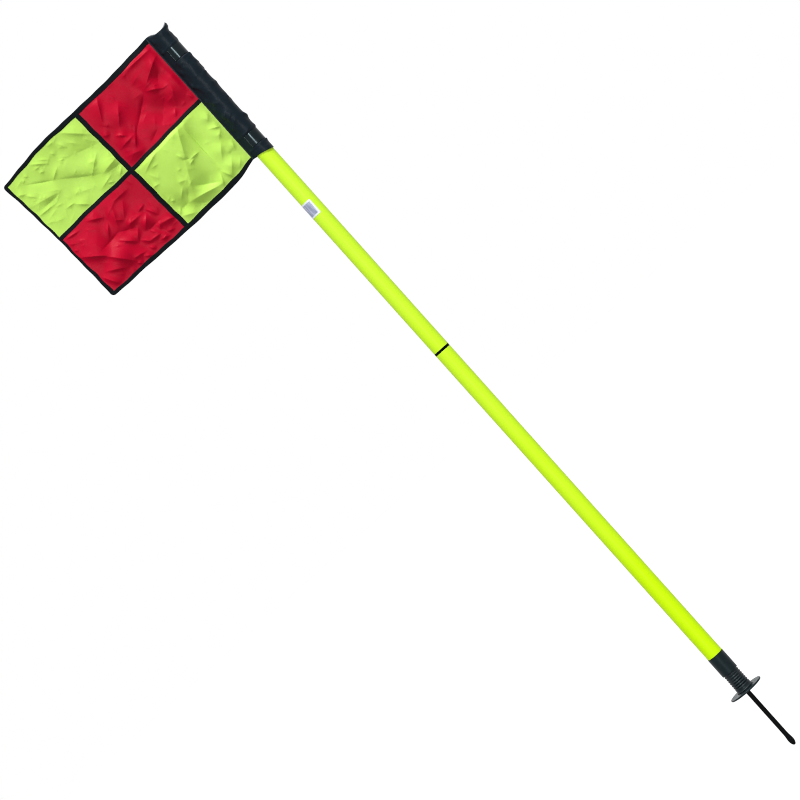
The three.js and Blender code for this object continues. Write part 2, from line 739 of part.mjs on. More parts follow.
const foot = new THREE.Group();
add(foot, 'ground_spike', groundSpike(), materials.spikeSteel);
add(foot, 'stop_disc', stopDisc(), materials.blackPlastic);
add(foot, 'foot_core', footCore(), materials.blackPlastic);
add(foot, 'spike_washer', spikeWasher(), materials.bareSteel);
add(foot, 'spike_nut', spikeNut(), materials.bareSteel);

const neck = new THREE.Group();
add(neck, 'spring_boot', springBoot(), materials.rubber);
add(neck, 'coil_spring', coilSpring(), materials.bareSteel);

const pole = new THREE.Group();
add(pole, 'pole_socket', poleSocket(), materials.blackPlastic);
add(pole, 'lower_tube', poleTube(socketTop, collarBottom), materials.neonPlastic);
add(pole, 'pole_connector', poleConnector(), materials.blackPlastic);
add(pole, 'upper_tube', poleTube(collarTop, poleTop), materials.neonPlastic);
add(pole, 'end_cap', endCap(), materials.blackPlastic);
add(pole, 'pole_label', poleLabel(), materials.label);

const flag = new THREE.Group();
const { top, bottom, fly, tapeNear, tapeFar, crossUpper, crossLower } = inside;
add(flag, 'flag_sleeve', flagSleeve(), materials.blackCloth);
add(flag, 'panel_top_inner', panel(seamLine, tapeNear, top, crossUpper), materials.redCloth);
add(flag, 'panel_bottom_inner', panel(seamLine, tapeNear, crossLower, bottom), materials.limeCloth);
add(flag, 'panel_top_outer', panel(tapeFar, fly, top, crossUpper), materials.limeCloth);
add(flag, 'panel_bottom_outer', panel(tapeFar, fly, crossLower, bottom), materials.redCloth);
add(flag, 'edge_binding', edgeBinding(), materials.blackCloth);
add(flag, 'hoist_tape', cloth(
  1, tapeRows, tapeThickness, hoistTapeNear, hoistTapeFar, top, bottom,
), materials.blackCloth);
add(flag, 'cross_tape_inner', cloth(
  panelColumns, 1, tapeThickness, seamLine, tapeNear, crossTapeUpper, crossTapeLower,
), materials.blackCloth);
add(flag, 'cross_tape_outer', cloth(
  panelColumns, 1, tapeThickness, tapeFar, fly, crossTapeUpper, crossTapeLower,
), materials.blackCloth);
add(flag, 'clip_upper', snapClip(clipUpperTop - clipLength), materials.clipPlastic);
add(flag, 'clip_lower', snapClip(clipLowerBottom), materials.clipPlastic);

cornerFlag.add(foot, neck, pole, flag);

export default cornerFlag;
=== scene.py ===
# A corner flag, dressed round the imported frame. Lengths are in metres, +Z runs up the pole,
# the flag flies towards -X and the photographed side faces -Y.

import json
import math
import random

import bpy
import numpy as np
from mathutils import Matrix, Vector

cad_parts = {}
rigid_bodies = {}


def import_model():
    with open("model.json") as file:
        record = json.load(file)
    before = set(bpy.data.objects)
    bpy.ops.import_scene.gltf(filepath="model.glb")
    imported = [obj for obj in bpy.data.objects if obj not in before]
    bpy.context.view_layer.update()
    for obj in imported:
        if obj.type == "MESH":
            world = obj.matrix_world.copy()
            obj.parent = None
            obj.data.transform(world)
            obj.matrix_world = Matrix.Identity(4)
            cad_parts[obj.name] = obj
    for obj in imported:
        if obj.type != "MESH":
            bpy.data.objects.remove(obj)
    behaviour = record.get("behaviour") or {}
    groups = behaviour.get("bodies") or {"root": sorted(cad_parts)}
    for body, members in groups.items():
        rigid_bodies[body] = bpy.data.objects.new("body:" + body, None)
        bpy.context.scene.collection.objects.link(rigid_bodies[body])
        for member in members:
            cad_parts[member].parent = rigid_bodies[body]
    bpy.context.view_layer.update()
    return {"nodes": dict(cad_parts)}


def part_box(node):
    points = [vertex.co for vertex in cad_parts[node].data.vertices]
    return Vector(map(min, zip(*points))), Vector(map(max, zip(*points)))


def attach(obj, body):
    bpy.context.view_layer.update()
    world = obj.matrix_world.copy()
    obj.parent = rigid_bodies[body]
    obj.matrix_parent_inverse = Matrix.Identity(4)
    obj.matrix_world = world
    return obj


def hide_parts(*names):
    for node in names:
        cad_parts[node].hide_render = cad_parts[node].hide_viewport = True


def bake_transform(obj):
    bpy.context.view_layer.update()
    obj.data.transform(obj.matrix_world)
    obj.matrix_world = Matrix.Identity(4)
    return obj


for leftover in list(bpy.data.objects):
    bpy.data.objects.remove(leftover)

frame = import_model()
mm = 0.001


def mix(start, end, share):
    return start + (end - start) * share


def ease(share):
    share = np.clip(share, 0, 1)
    return share * share * (3 - 2 * share)


# Heights and radii that the frame gives
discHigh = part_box("stop_disc")[1]
bootLow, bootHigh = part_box("spring_boot")
socketLow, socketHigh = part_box("pole_socket")
lowerLow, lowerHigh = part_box("lower_tube")
upperLow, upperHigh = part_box("upper_tube")
spikeLow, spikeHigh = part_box("ground_spike")
labelLow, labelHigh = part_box("pole_label")
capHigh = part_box("end_cap")[1]


# Materials

def addNode(tree, kind, values=None, **settings):
    made = tree.nodes.new(kind)
    for key, value in settings.items():
        setattr(made, key, value)
    for key, value in (values or {}).items():
        made.inputs[key].default_value = value
    return made


def newMaterial(name, colour, roughness, **sockets):
    material = bpy.data.materials.new(name)
    material.use_nodes = True
    material.diffuse_color = (*colour, 1)
    tree = material.node_tree
    shader = tree.nodes["Principled BSDF"]
    shader.inputs["Base Color"].default_value = (*colour, 1)
    shader.inputs["Roughness"].default_value = roughness
    for key, value in sockets.items():
        shader.inputs[key.replace("_", " ")].default_value = value
    return material, tree, shader


def coordinates(tree, kind="Object", scale=(1, 1, 1)):
    source = addNode(tree, "ShaderNodeTexCoord")
    mapping = addNode(tree, "ShaderNodeMapping", {"Scale": scale})
    tree.links.new(source.outputs[kind], mapping.inputs["Vector"])
    return mapping.outputs["Vector"]


def noise(tree, vector, scale, detail=3.0):
    made = addNode(tree, "ShaderNodeTexNoise", {"Scale": scale, "Detail": detail})
    tree.links.new(vector, made.inputs["Vector"])
    return made.outputs["Fac"]


def waves(tree, vector, period, direction):
    # One band of a wave texture is a tenth of pi long at a scale of 1.
    made = addNode(
        tree, "ShaderNodeTexWave", {"Scale": math.pi / 10 / period}, bands_direction=direction,
    )
    tree.links.new(vector, made.inputs["Vector"])
    return made.outputs["Fac"]


def calculate(tree, operation, first, second):
    made = addNode(tree, "ShaderNodeMath", operation=operation)
    for socket, value in zip(made.inputs, (first, second)):
        if isinstance(value, (int, float)):
            socket.default_value = value
        else:
            tree.links.new(value, socket)
    return made.outputs["Value"]


def between(tree, value, low, high, toLow=0.0, toHigh=1.0):
    made = addNode(tree, "ShaderNodeMapRange", {
        "From Min": low, "From Max": high, "To Min": toLow, "To Max": toHigh,
    })
    tree.links.new(value, made.inputs["Value"])
    return made.outputs["Result"]


def mixColours(tree, factor, first, second):
    made = addNode(tree, "ShaderNodeMix", data_type="RGBA")
    tree.links.new(factor, made.inputs["Factor"])
    for socket, value in (("A", first), ("B", second)):
        target = [s for s in made.inputs if s.name == socket and s.type == "RGBA"][0]
        if isinstance(value, tuple):
            target.default_value = (*value, 1)
        else:
            tree.links.new(value, target)
    return [s for s in made.outputs if s.type == "RGBA"][0]


def addBump(tree, shader, height, strength, distance):
    made = addNode(tree, "ShaderNodeBump", {"Strength": strength, "Distance": distance})
    tree.links.new(height, made.inputs["Height"])
    tree.links.new(made.outputs["Normal"], shader.inputs["Normal"])


def varyRoughness(tree, shader, value, low, high):
    tree.links.new(between(tree, value, 0.3, 0.7, low, high), shader.inputs["Roughness"])


nylon = {
    "thread": 0.32 * mm,
    "cloudSize": 24,  # patches of slightly different shade, per metre
    "sheen": 0.03,
}


def nylonCloth(name, colour, shade, roughness, specular):
    # Thin woven nylon: fine threads both ways over faint clouds of colour
    material, tree, shader = newMaterial(
        name, colour, roughness, Specular_IOR_Level=specular, Sheen_Weight=nylon["sheen"],
        Sheen_Roughness=0.4, Sheen_Tint=(*colour, 1),
    )
    flat = coordinates(tree, "UV")
    warp = waves(tree, flat, nylon["thread"], "X")
    weft = waves(tree, flat, nylon["thread"], "Y")
    weave = calculate(tree, "MULTIPLY", warp, weft)
    cloud = noise(tree, flat, nylon["cloudSize"], 5.0)
    fleck = noise(tree, flat, 1 / nylon["thread"] / 4, 2.0)
    worn = calculate(
        tree, "ADD", between(tree, cloud, 0.3, 0.7, 0, 0.6), between(tree, weave, 0, 1, 0, 0.4),
    )
    tree.links.new(mixColours(tree, worn, shade, colour), shader.inputs["Base Color"])
    varyRoughness(tree, shader, fleck, roughness - 0.05, roughness + 0.06)
    addBump(tree, shader, weave, 0.35, 0.05 * mm)
    return material


def wovenTape(name, colour, shade):
    # Binding tape: close ribs across its length
    material, tree, shader = newMaterial(name, colour, 0.62, Specular_IOR_Level=0.05)
    flat = coordinates(tree, "UV")
    rib = waves(tree, flat, 0.55 * mm, "X")
    thread = waves(tree, flat, 0.4 * mm, "Y")
    weave = calculate(tree, "ADD", rib, calculate(tree, "MULTIPLY", thread, 0.4))
    cloud = noise(tree, flat, 60, 4.0)
    worn = calculate(tree, "MULTIPLY", between(tree, cloud, 0.3, 0.7), between(tree, weave, 0, 1.4))
    tree.links.new(mixColours(tree, worn, shade, colour), shader.inputs["Base Color"])
    addBump(tree, shader, weave, 0.5, 0.08 * mm)
    return material


def stained(made, colours, fine, cloud, cover, rough, bump, roughByGrain=False):
    # A fine grain over clouds of a second colour, which cover the first as far as cover says
    material, tree, shader = made
    place = coordinates(tree)
    grain = noise(tree, place, *fine)
    marks = noise(tree, place, *cloud)
    tree.links.new(
        mixColours(tree, between(tree, marks, *cover), *colours), shader.inputs["Base Color"],
    )
    varyRoughness(tree, shader, grain if roughByGrain else marks, *rough)
    addBump(tree, shader, grain, *bump)
    return material


def mouldedPlastic(name, colour, roughness, specular, grain):
    # Moulded plastic with a fine spark-eroded grain and faint handling marks
    made = newMaterial(
        name, colour, roughness, Specular_IOR_Level=specular, Specular_Tint=(0.72, 0.95, 1, 1),
    )
    pale = tuple(channel * 1.5 + 0.004 for channel in colour)
    return stained(
        made, (colour, pale), fine=(2600, 2.0), cloud=(90, 6.0), cover=(0.45, 0.75, 0, 0.5),
        rough=(roughness - 0.04, roughness + 0.08), bump=(grain, 0.05 * mm),
    )


def softRubber():
    # Neck rubber: duller than the plastic, with dust in its pores
    rubber, dust = (0.002, 0.005, 0.007), (0.014, 0.018, 0.021)
    made = newMaterial(
        "neckRubber", rubber, 0.36, Specular_IOR_Level=0.2, Specular_Tint=(0.8, 0.95, 1, 1),
    )
    return stained(
        made, (rubber, dust), fine=(1500, 4.0), cloud=(70, 7.0), cover=(0.48, 0.8, 0, 0.6),
        rough=(0.3, 0.44), bump=(0.25, 0.05 * mm),
    )


def neonTube():
    # Extruded tube: clean gloss with faint lines along its length and a few rubs, and a painted
    # highlight that makes it paler towards the flag
    # The upper colour holds a painted highlight, the lower one is the tube's plain colour
    colour, deep = (0.58, 0.91, 0.045), (0.555, 0.875, 0.001)
    material, tree, shader = newMaterial("neonTube", colour, 0.42, Specular_IOR_Level=0.12)
    drawn = noise(tree, coordinates(tree, "Object", (1, 1, 0.012)), 900, 3.0)
    height = addNode(tree, "ShaderNodeSeparateXYZ")
    tree.links.new(coordinates(tree), height.inputs["Vector"])
    paintedHighlight = between(tree, height.outputs["Z"], lowerLow.z, upperHigh.z)  # painted highlight: paler and whiter towards the flag
    mottle = noise(tree, coordinates(tree, "Object", (1, 1, 0.25)), 22, 5.0)
    rubs = noise(tree, coordinates(tree, "Object", (1, 1, 0.06)), 260, 8.0)
    cloud = calculate(tree, "ADD", paintedHighlight, between(tree, mottle, 0.35, 0.65, -0.12, 0.12))
    tree.links.new(mixColours(tree, cloud, deep, colour), shader.inputs["Base Color"])
    varyRoughness(tree, shader, rubs, 0.36, 0.5)
    addBump(tree, shader, drawn, 0.12, 0.05 * mm)
    return material


def paintedSteel():
    # Black paint on the spike, rubbed to the steel in small spots near its tip
    paint, steel = (0.0012, 0.0015, 0.0018), (0.06, 0.06, 0.065)
    material, tree, shader = newMaterial("spikePaint", paint, 0.4, Specular_IOR_Level=0.05)
    place = coordinates(tree)
    height = addNode(tree, "ShaderNodeSeparateXYZ")
    tree.links.new(place, height.inputs["Vector"])
    nearTip = between(tree, height.outputs["Z"], spikeLow.z + 0.03, spikeLow.z)
    spots = between(tree, noise(tree, place, 700, 5.0), 0.6, 0.7)
    bare = calculate(tree, "MULTIPLY", nearTip, spots)
    tree.links.new(mixColours(tree, bare, paint, steel), shader.inputs["Base Color"])
    varyRoughness(tree, shader, noise(tree, place, 160, 6.0), 0.34, 0.5)
    addBump(tree, shader, noise(tree, place, 500, 5.0), 0.2, 0.06 * mm)
    return material


def platedSteel():
    # Zinc-plated steel of the fixings and the spring, inside the neck
    zinc, dull = (0.58, 0.58, 0.6), (0.42, 0.42, 0.4)
    return stained(
        newMaterial("platedSteel", zinc, 0.3, Metallic=1.0), (zinc, dull), fine=(1200, 4.0),
        cloud=(150, 5.0), cover=(0.4, 0.7), rough=(0.24, 0.42), bump=(0.15, 0.04 * mm),
        roughByGrain=True,
    )


stickerPaint = {
    "margin": 2.8 * mm,  # white frame round the printed field
    "white": (0.74, 0.8, 0.84),
    "field": (0.44, 0.48, 0.63),
    "fieldDark": (0.25, 0.28, 0.4),
}


def stickerFilm(width, height):
    # A sticker with a plain pale field inside a white frame. Its UV map is in metres
    paint = stickerPaint
    material, tree, shader = newMaterial("stickerFilm", paint["white"], 0.3, Specular_IOR_Level=0.5)
    flat = coordinates(tree, "UV")
    split = addNode(tree, "ShaderNodeSeparateXYZ")
    tree.links.new(flat, split.inputs["Vector"])
    inside = None
    for axis, size in (("X", width), ("Y", height)):
        edge = calculate(tree, "PINGPONG", split.outputs[axis], size / 2)
        step = between(tree, edge, paint["margin"], paint["margin"] + 0.25 * mm)
        inside = step if inside is None else calculate(tree, "MULTIPLY", inside, step)
    streaks = noise(tree, coordinates(tree, "UV", (1, 0.12, 1)), 330, 3.0)
    field = mixColours(tree, between(tree, streaks, 0.4, 0.62), paint["fieldDark"], paint["field"])
    tree.links.new(mixColours(tree, inside, paint["white"], field), shader.inputs["Base Color"])
    varyRoughness(tree, shader, noise(tree, flat, 400, 3.0), 0.26, 0.36)
    addBump(tree, shader, noise(tree, flat, 220, 3.0), 0.12, 0.1 * mm)
    return material


materials = {
    "neon": neonTube(),
    "black": mouldedPlastic("blackPlastic", (0.0006, 0.003, 0.0046), 0.4, 0.2, 0.3),
    # The collar's colour is darker than the other black plastic: painted shade, which makes the
    # flush ring look like a shaded recess between the tubes
    "collar": mouldedPlastic("collarPlasticPaintedShade", (0.0002, 0.0006, 0.0002), 0.5, 0.03, 0.3),
    "clip": mouldedPlastic("clipPlastic", (0.0001, 0.0014, 0.003), 0.15, 0.26, 0.03),
    "rubber": softRubber(),
    "spike": paintedSteel(),
    "steel": platedSteel(),
    "red": nylonCloth("redNylon", (0.43, 0.0004, 0.021), (0.395, 0.0002, 0.017), 0.42, 0.075),
    "lime": nylonCloth("limeNylon", (0.44, 0.7, 0.115), (0.4, 0.645, 0.09), 0.42, 0.09),
    "sleeve": nylonCloth(
        "blackNylon", (0.0022, 0.0085, 0.0145), (0.0014, 0.0065, 0.011), 0.42, 0.12,
    ),
    "tape": wovenTape("blackTape", (0.005, 0.008, 0.01), (0.002, 0.0035, 0.005)),
    "thread": wovenTape("blackThread", (0.014, 0.018, 0.022), (0.008, 0.01, 0.012)),
}
print("materials made:", len(materials))


# Tools for shaping

def only(piece):
    bpy.ops.object.select_all(action="DESELECT")
    piece.select_set(True)
    bpy.context.view_layer.objects.active = piece


def editAll():
    bpy.ops.object.mode_set(mode="EDIT")
    bpy.ops.mesh.select_all(action="SELECT")


def applyModifier(piece, kind, **settings):
    only(piece)
    modifier = piece.modifiers.new(kind.lower(), kind)
    for key, value in settings.items():
        setattr(modifier, key, value)
    bpy.ops.object.modifier_apply(modifier=modifier.name)


def finishPiece(piece, material, bevel=0.0, smooth=40, flats=False):
    only(piece)
    if bevel:
        applyModifier(
            piece, "BEVEL", width=bevel, segments=3,
            limit_method="ANGLE", angle_limit=math.radians(35),
        )
    bpy.ops.object.shade_smooth_by_angle(angle=math.radians(smooth))
    if flats:  # broad faces keep their own shading beside a rounded edge
        applyModifier(piece, "WEIGHTED_NORMAL", keep_sharp=True, weight=100)
    piece.data.materials.clear()
    piece.data.materials.append(materials[material] if isinstance(material, str) else material)
    return piece


def carry(piece, body, slot, *nodes):
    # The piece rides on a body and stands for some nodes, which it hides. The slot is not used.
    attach(piece, body)
    if nodes:
        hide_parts(*nodes)


def cleanMesh(piece, threshold=None):
    # Joins the points that lie together, where a distance is given, and turns the faces outwards
    if piece.mode == "OBJECT":
        only(piece)
    editAll()
    if threshold:
        bpy.ops.mesh.remove_doubles(threshold=threshold)
    bpy.ops.mesh.normals_make_consistent(inside=False)
    bpy.ops.object.mode_set(mode="OBJECT")


def drawOutline(name, profile):
    # A closed line through places of (radius, height), left in edit mode and selected
    bpy.ops.object.select_all(action="DESELECT")
    bpy.ops.mesh.primitive_plane_add(size=mm)
    piece = bpy.context.object
    piece.name = name
    editAll()
    bpy.ops.mesh.merge(type="CENTER")
    radius, height = profile[0]
    bpy.ops.transform.translate(value=(radius, 0, height))
    for (r0, z0), (r1, z1) in zip(profile, profile[1:] + profile[:1]):
        bpy.ops.mesh.extrude_region_move(
            TRANSFORM_OT_translate={"value": (r1 - r0, 0, z1 - z0)},
        )
    bpy.ops.mesh.select_all(action="SELECT")
    bpy.ops.mesh.remove_doubles(threshold=0.001 * mm)
    return piece


def turn(name, profile, steps=96):
    # Turns a closed profile of (radius, height) round the pole, as on a lathe
    piece = drawOutline(name, profile)
    bpy.ops.mesh.spin(steps=steps, angle=2 * math.pi, center=(0, 0, 0), axis=(0, 0, 1))
    cleanMesh(piece, 0.002 * mm)
    return piece


def meshFrom(name, points, faces, uvs=None):
    # A piece from points and faces, with UVs in metres for each point
    mesh = bpy.data.meshes.new(name)
    mesh.from_pydata([tuple(p) for p in points], [], faces)
    piece = bpy.data.objects.new(name, mesh)
    bpy.context.scene.collection.objects.link(piece)
    if uvs is not None:
        layer = mesh.uv_layers.new(name="UVMap")
        loops = readPlaces(mesh)[1]
        layer.data.foreach_set("uv", np.asarray(uvs, float)[loops].astype(np.float32).ravel())
    mesh.update()
    return piece


def runAlong(points):
    # How far along a row of points each of them is
    steps = np.linalg.norm(np.diff(points, axis=0), axis=1)
    return np.concatenate([[0], np.cumsum(steps)])


def readPlaces(mesh):
    # The points of a mesh and, for each corner of a face, which point it is
    place = np.zeros(len(mesh.vertices) * 3)
    mesh.vertices.foreach_get("co", place)
    loops = np.zeros(len(mesh.loops), int)
    mesh.loops.foreach_get("vertex_index", loops)
    return place.reshape(-1, 3), loops


def gridFaces(columns, rows, wrap=False):
    # Quads of a grid of points, row after row. With wrap, the last column joins the first
    across = columns if wrap else columns + 1
    faces = []
    for j in range(rows):
        for i in range(columns):
            a, b = j * across + i, j * across + (i + 1) % across
            faces.append((a, b, b + across, a + across))
    return faces


def tubeFaces(around, sections):
    # Quads round a tube, section after section, and a face at each end
    faces = gridFaces(around, sections - 1, wrap=True)
    faces.append(tuple(range(around))[::-1])
    faces.append(tuple((sections - 1) * around + k for k in range(around)))
    return faces


# Foot

spike = {
    "sides": 48,
    "radius": 4 * mm,
    "tipLength": 24 * mm,
    "tipHalfWidth": 5 * mm,
    "tipHalfThickness": 2.6 * mm,
    "roundShare": 0.45,  # of the tip, from its end to its widest place
    "roundSteps": 9,
    "necking": 8,
    "flangeWidth": 2.6 * mm,
    "flangeThickness": 1.4 * mm,
    "flangeInset": 0.3 * mm,
    "chamfer": 0.8 * mm,
    "start": 0.1 * mm,  # radius of the circle that it grows from
    "step": 0.01 * mm,  # height over which the flange's faces step in and out
}


def groundSpike():
    bpy.ops.object.select_all(action="DESELECT")
    start, step = spike["start"], spike["step"]
    bpy.ops.mesh.primitive_circle_add(
        vertices=spike["sides"], radius=start, fill_type="NGON", location=(0, 0, spikeLow.z),
    )
    piece = bpy.context.object
    piece.name = "spike"
    editAll()
    state = [0.0, start, start]  # height above the tip and the two half widths so far

    def grow(height, halfX, halfY):
        rise = height - state[0]
        bpy.ops.mesh.extrude_region_move(TRANSFORM_OT_translate={"value": (0, 0, rise)})
        bpy.ops.transform.resize(
            value=(halfX / state[1], halfY / state[2], 1),
            center_override=(0, 0, spikeLow.z + height),
        )
        state[:] = [height, halfX, halfY]

    wide, thick = spike["tipHalfWidth"], spike["tipHalfThickness"]
    roundLength = spike["tipLength"] * spike["roundShare"]
    for k in range(1, spike["roundSteps"] + 1):
        angle = math.pi / 2 * k / spike["roundSteps"]
        grow(roundLength * (1 - math.cos(angle)), wide * math.sin(angle), thick * math.sin(angle))
    for k in range(1, spike["necking"] + 1):
        share = float(ease(k / spike["necking"]))
        height = mix(roundLength, spike["tipLength"], k / spike["necking"])
        grow(height, mix(wide, spike["radius"], share), mix(thick, spike["radius"], share))
    radius = spike["radius"]
    flange = radius + spike["flangeWidth"]
    low = spike["flangeInset"] - spikeLow.z
    high = low + spike["flangeThickness"]
    top = spikeHigh.z - spikeLow.z
    for height, size in (
        (low, radius), (low + step, flange), (high, flange), (high + step, radius),
        (top - spike["chamfer"], radius), (top, radius - spike["chamfer"]),
    ):
        grow(height, size, size)
    cleanMesh(piece)
    applyTransform(piece)
    finishPiece(piece, "spike", smooth=50)
    carry(piece, "foot", "spike_steel", "ground_spike")


def applyTransform(piece):
    only(piece)
    bpy.ops.object.transform_apply(location=True, rotation=True, scale=True)


disc = {
    "counterbore": 6.9 * mm,
    "counterboreDepth": 1.7 * mm,
    "spikeBore": 4.24 * mm,
    "crown": 0.25 * mm,  # the upper face falls this much towards the rim
    "edge": 0.9 * mm,
    "edgeSteps": 8,
    "crownPlaces": [(0.62, 0.3), (0.4, 0)],  # shares of the radius and of the crown's fall
}


def stopDisc():
    radius, top = discHigh.x, discHigh.z
    edge = disc["edge"]
    rim = []
    for k in range(disc["edgeSteps"] + 1):
        angle = -math.pi / 2 + math.pi * k / disc["edgeSteps"]
        middle = top / 2 - disc["crown"] / 2
        rim.append((
            radius - edge + edge * math.cos(angle),
            middle + math.sin(angle) * middle,
        ))
    piece = turn("disc", [
        (disc["counterbore"], 0),
        *rim,
        *((radius * out, top - disc["crown"] * fall) for out, fall in disc["crownPlaces"]),
        (disc["spikeBore"], top),
        (disc["spikeBore"], disc["counterboreDepth"]),
        (disc["counterbore"], disc["counterboreDepth"]),
    ])
    finishPiece(piece, "black", bevel=0.15 * mm, flats=True)
    carry(piece, "foot", "black_plastic", "stop_disc")


# Neck

boot = {
    "wall": 1.7 * mm,
    "footRadius": 14.8 * mm,
    "topRadius": 14.3 * mm,
    "skirtHeight": 5 * mm,
    "skirtLip": 0.7 * mm,
    "skirtSteps": 7,
    "skirtEdge": (0.2 * mm, 0.3 * mm),
    "skirtEnd": (0.1 * mm, 0.6 * mm),  # where it runs into the first rib
    "skirtCurve": 0.7,
    "ribs": 7,
    "ribDepth": 0.9 * mm,
    "ribSteps": 8,
    "ribCurve": 2.5,
    "firstShare": 0.3,  # of the first rib, which the skirt takes up
    "collarEdge": (0.3 * mm, 0.4 * mm),
    "groove": 1.6 * mm,
    "collarInset": 0.3 * mm,
    "innerSteps": 6,
    "split": 0.53,  # where the neck parts between its two hinges
    "softReach": 1.6,  # how far past a hinge the bend runs out, in distances from it to the split
}
socket = {
    "bossLength": 8 * mm,
    "wall": 1.4 * mm,
    "bossRadius": 8.3 * mm,
    "floor": 8 * mm,
    "chamfer": 0.7 * mm,
    "spigotChamfer": 1 * mm,
    "plugWall": 2.6 * mm,
}
tube = {
    "wall": 1.8 * mm,
    "slide": 0.15 * mm,
    "edge": 0.25 * mm,
    "sides": 128,
}
tubeRadius = lowerHigh.x
socketRadius = socketHigh.x
socketBottom = socketLow.z + socket["bossLength"]
socketTop = lowerLow.z
boreRadius = tubeRadius - tube["wall"]
spigotRadius = boreRadius - tube["slide"]
collarRadius = socketRadius - socket["wall"] - boot["collarInset"]
neckSplit = mix(discHigh.z, socketBottom, boot["split"])


def bootOutline():
    # The outside of the boot from its foot up: a skirt, seven round ribs and a plain collar
    low = bootLow.z
    ribBottom = discHigh.z + boot["skirtHeight"]
    ribTop = socketBottom - boot["groove"]
    skirt = bootHigh.x
    (edgeIn, edgeUp), (endIn, endUp) = boot["skirtEdge"], boot["skirtEnd"]
    points = [(skirt - edgeIn, low), (skirt, low + edgeUp), (skirt, low + boot["skirtLip"])]
    for k in range(1, boot["skirtSteps"]):
        share = k / boot["skirtSteps"]
        sweep = math.sin(share * math.pi / 2) ** boot["skirtCurve"]
        radius = mix(skirt, boot["footRadius"] - endIn, sweep)
        points.append((radius, mix(low + boot["skirtLip"], ribBottom + endUp, share)))
    pitch = (ribTop - ribBottom) / boot["ribs"]
    for rib in range(boot["ribs"]):
        crest = mix(boot["footRadius"], boot["topRadius"], rib / (boot["ribs"] - 1))
        for k in range(boot["ribSteps"]):
            share = k / boot["ribSteps"]
            if rib == 0 and share < boot["firstShare"]:
                continue
            dip = boot["ribDepth"] * abs(math.cos(math.pi * share)) ** boot["ribCurve"]
            points.append((crest - dip, ribBottom + pitch * (rib + share)))
    points += [
        (boot["topRadius"] - boot["ribDepth"], ribTop),
        (collarRadius - boot["collarEdge"][0], ribTop + boot["collarEdge"][1]),
        (collarRadius, socketBottom),
        (collarRadius, bootHigh.z),
    ]
    return points


def springBoot():
    outline = bootOutline()
    inner = collarRadius - boot["wall"]
    below = [p for p in outline if p[1] < neckSplit]
    above = [p for p in outline if p[1] > neckSplit]
    share = (neckSplit - below[-1][1]) / (above[0][1] - below[-1][1])
    seam = (mix(below[-1][0], above[0][0], share), neckSplit)
    steps = boot["innerSteps"]
    innerLow = [(inner, mix(neckSplit, bootLow.z, k / steps)) for k in range(steps + 1)]
    innerHigh = [(inner, mix(bootHigh.z, neckSplit, k / steps)) for k in range(steps + 1)]
    lower = turn("bootLower", below + [seam] + innerLow)
    upper = turn("bootUpper", [seam] + above + innerHigh)
    bendNeck(lower, upper, "rubber", 50, "black_rubber", "spring_boot")


def bendNeck(lower, upper, material, smooth, slot, node):
    # Both halves of the neck are finished and their places baked into their meshes, and the node
    # they stand for is hidden
    for piece in (lower, upper):
        finishPiece(piece, material, smooth=smooth)
        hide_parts(node)
    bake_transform(lower)
    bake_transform(upper)


spring = {
    "wire": 1.2 * mm,
    "radius": 10.6 * mm,
    "turns": 7,
    "stepsPerTurn": 40,
    "low": 8.1 * mm,
    "endGap": 1.5 * mm,
}


def coilSpring():
    low, high = spring["low"], socketBottom - spring["endGap"]
    parts = []
    count = spring["turns"] * spring["stepsPerTurn"]
    heights = [mix(low, high, k / count) for k in range(count + 1)]
    halves = (
        ("springLower", lambda z: z <= neckSplit), ("springUpper", lambda z: z >= neckSplit),
    )
    for name, keep in halves:
        curve = bpy.data.curves.new(name, "CURVE")
        curve.dimensions = "3D"
        curve.bevel_depth = spring["wire"]
        curve.bevel_resolution = 3
        curve.use_fill_caps = True
        picked = [k for k in range(count + 1) if keep(heights[k])]
        line = curve.splines.new("POLY")
        line.points.add(len(picked) - 1)
        for point, k in zip(line.points, picked):
            angle = 2 * math.pi * k / spring["stepsPerTurn"]
            x, y = spring["radius"] * math.cos(angle), spring["radius"] * math.sin(angle)
            point.co = (x, y, heights[k], 1)
        piece = bpy.data.objects.new(name, curve)
        bpy.context.scene.collection.objects.link(piece)
        only(piece)
        bpy.ops.object.convert(target="MESH")
        parts.append(piece)
    bendNeck(*parts, "steel", 60, "bare_steel", "coil_spring")


# Pole

def poleSocket():
    inner = spigotRadius - socket["plugWall"]
    chamfer, tip = socket["chamfer"], socket["spigotChamfer"]
    recessTop = bootHigh.z + boot["collarInset"]
    recessOuter = socketRadius - socket["wall"]
    recessInner = collarRadius - boot["wall"] - boot["collarInset"]
    floor = socketBottom + socket["floor"]
    piece = turn("socket", [
        (0, socketLow.z),
        (socket["bossRadius"], socketLow.z),
        (socket["bossRadius"], socketBottom),
        (recessInner, socketBottom),
        (recessInner, recessTop),
        (recessOuter, recessTop),
        (recessOuter, socketBottom),
        (socketRadius - chamfer, socketBottom),
        (socketRadius - chamfer * 0.3, socketBottom + chamfer * 0.3),
        (socketRadius, socketBottom + chamfer),
        (socketRadius, socketTop),
        (spigotRadius, socketTop),
        (spigotRadius, socketHigh.z - tip),
        (spigotRadius - tip, socketHigh.z),
        (inner, socketHigh.z),
        (inner, floor),
        (0, floor),
    ])
    finishPiece(piece, "black", bevel=0.2 * mm, flats=True)
    carry(piece, "lower_pole", "black_plastic", "pole_socket")


def poleTube(name, low, high, body, node):
    outline = [(boreRadius, low), (tubeRadius, low), (tubeRadius, high), (boreRadius, high)]
    piece = turn(name, outline, tube["sides"])
    finishPiece(piece, "neon", bevel=tube["edge"], flats=True)
    carry(piece, body, "neon_plastic", node)


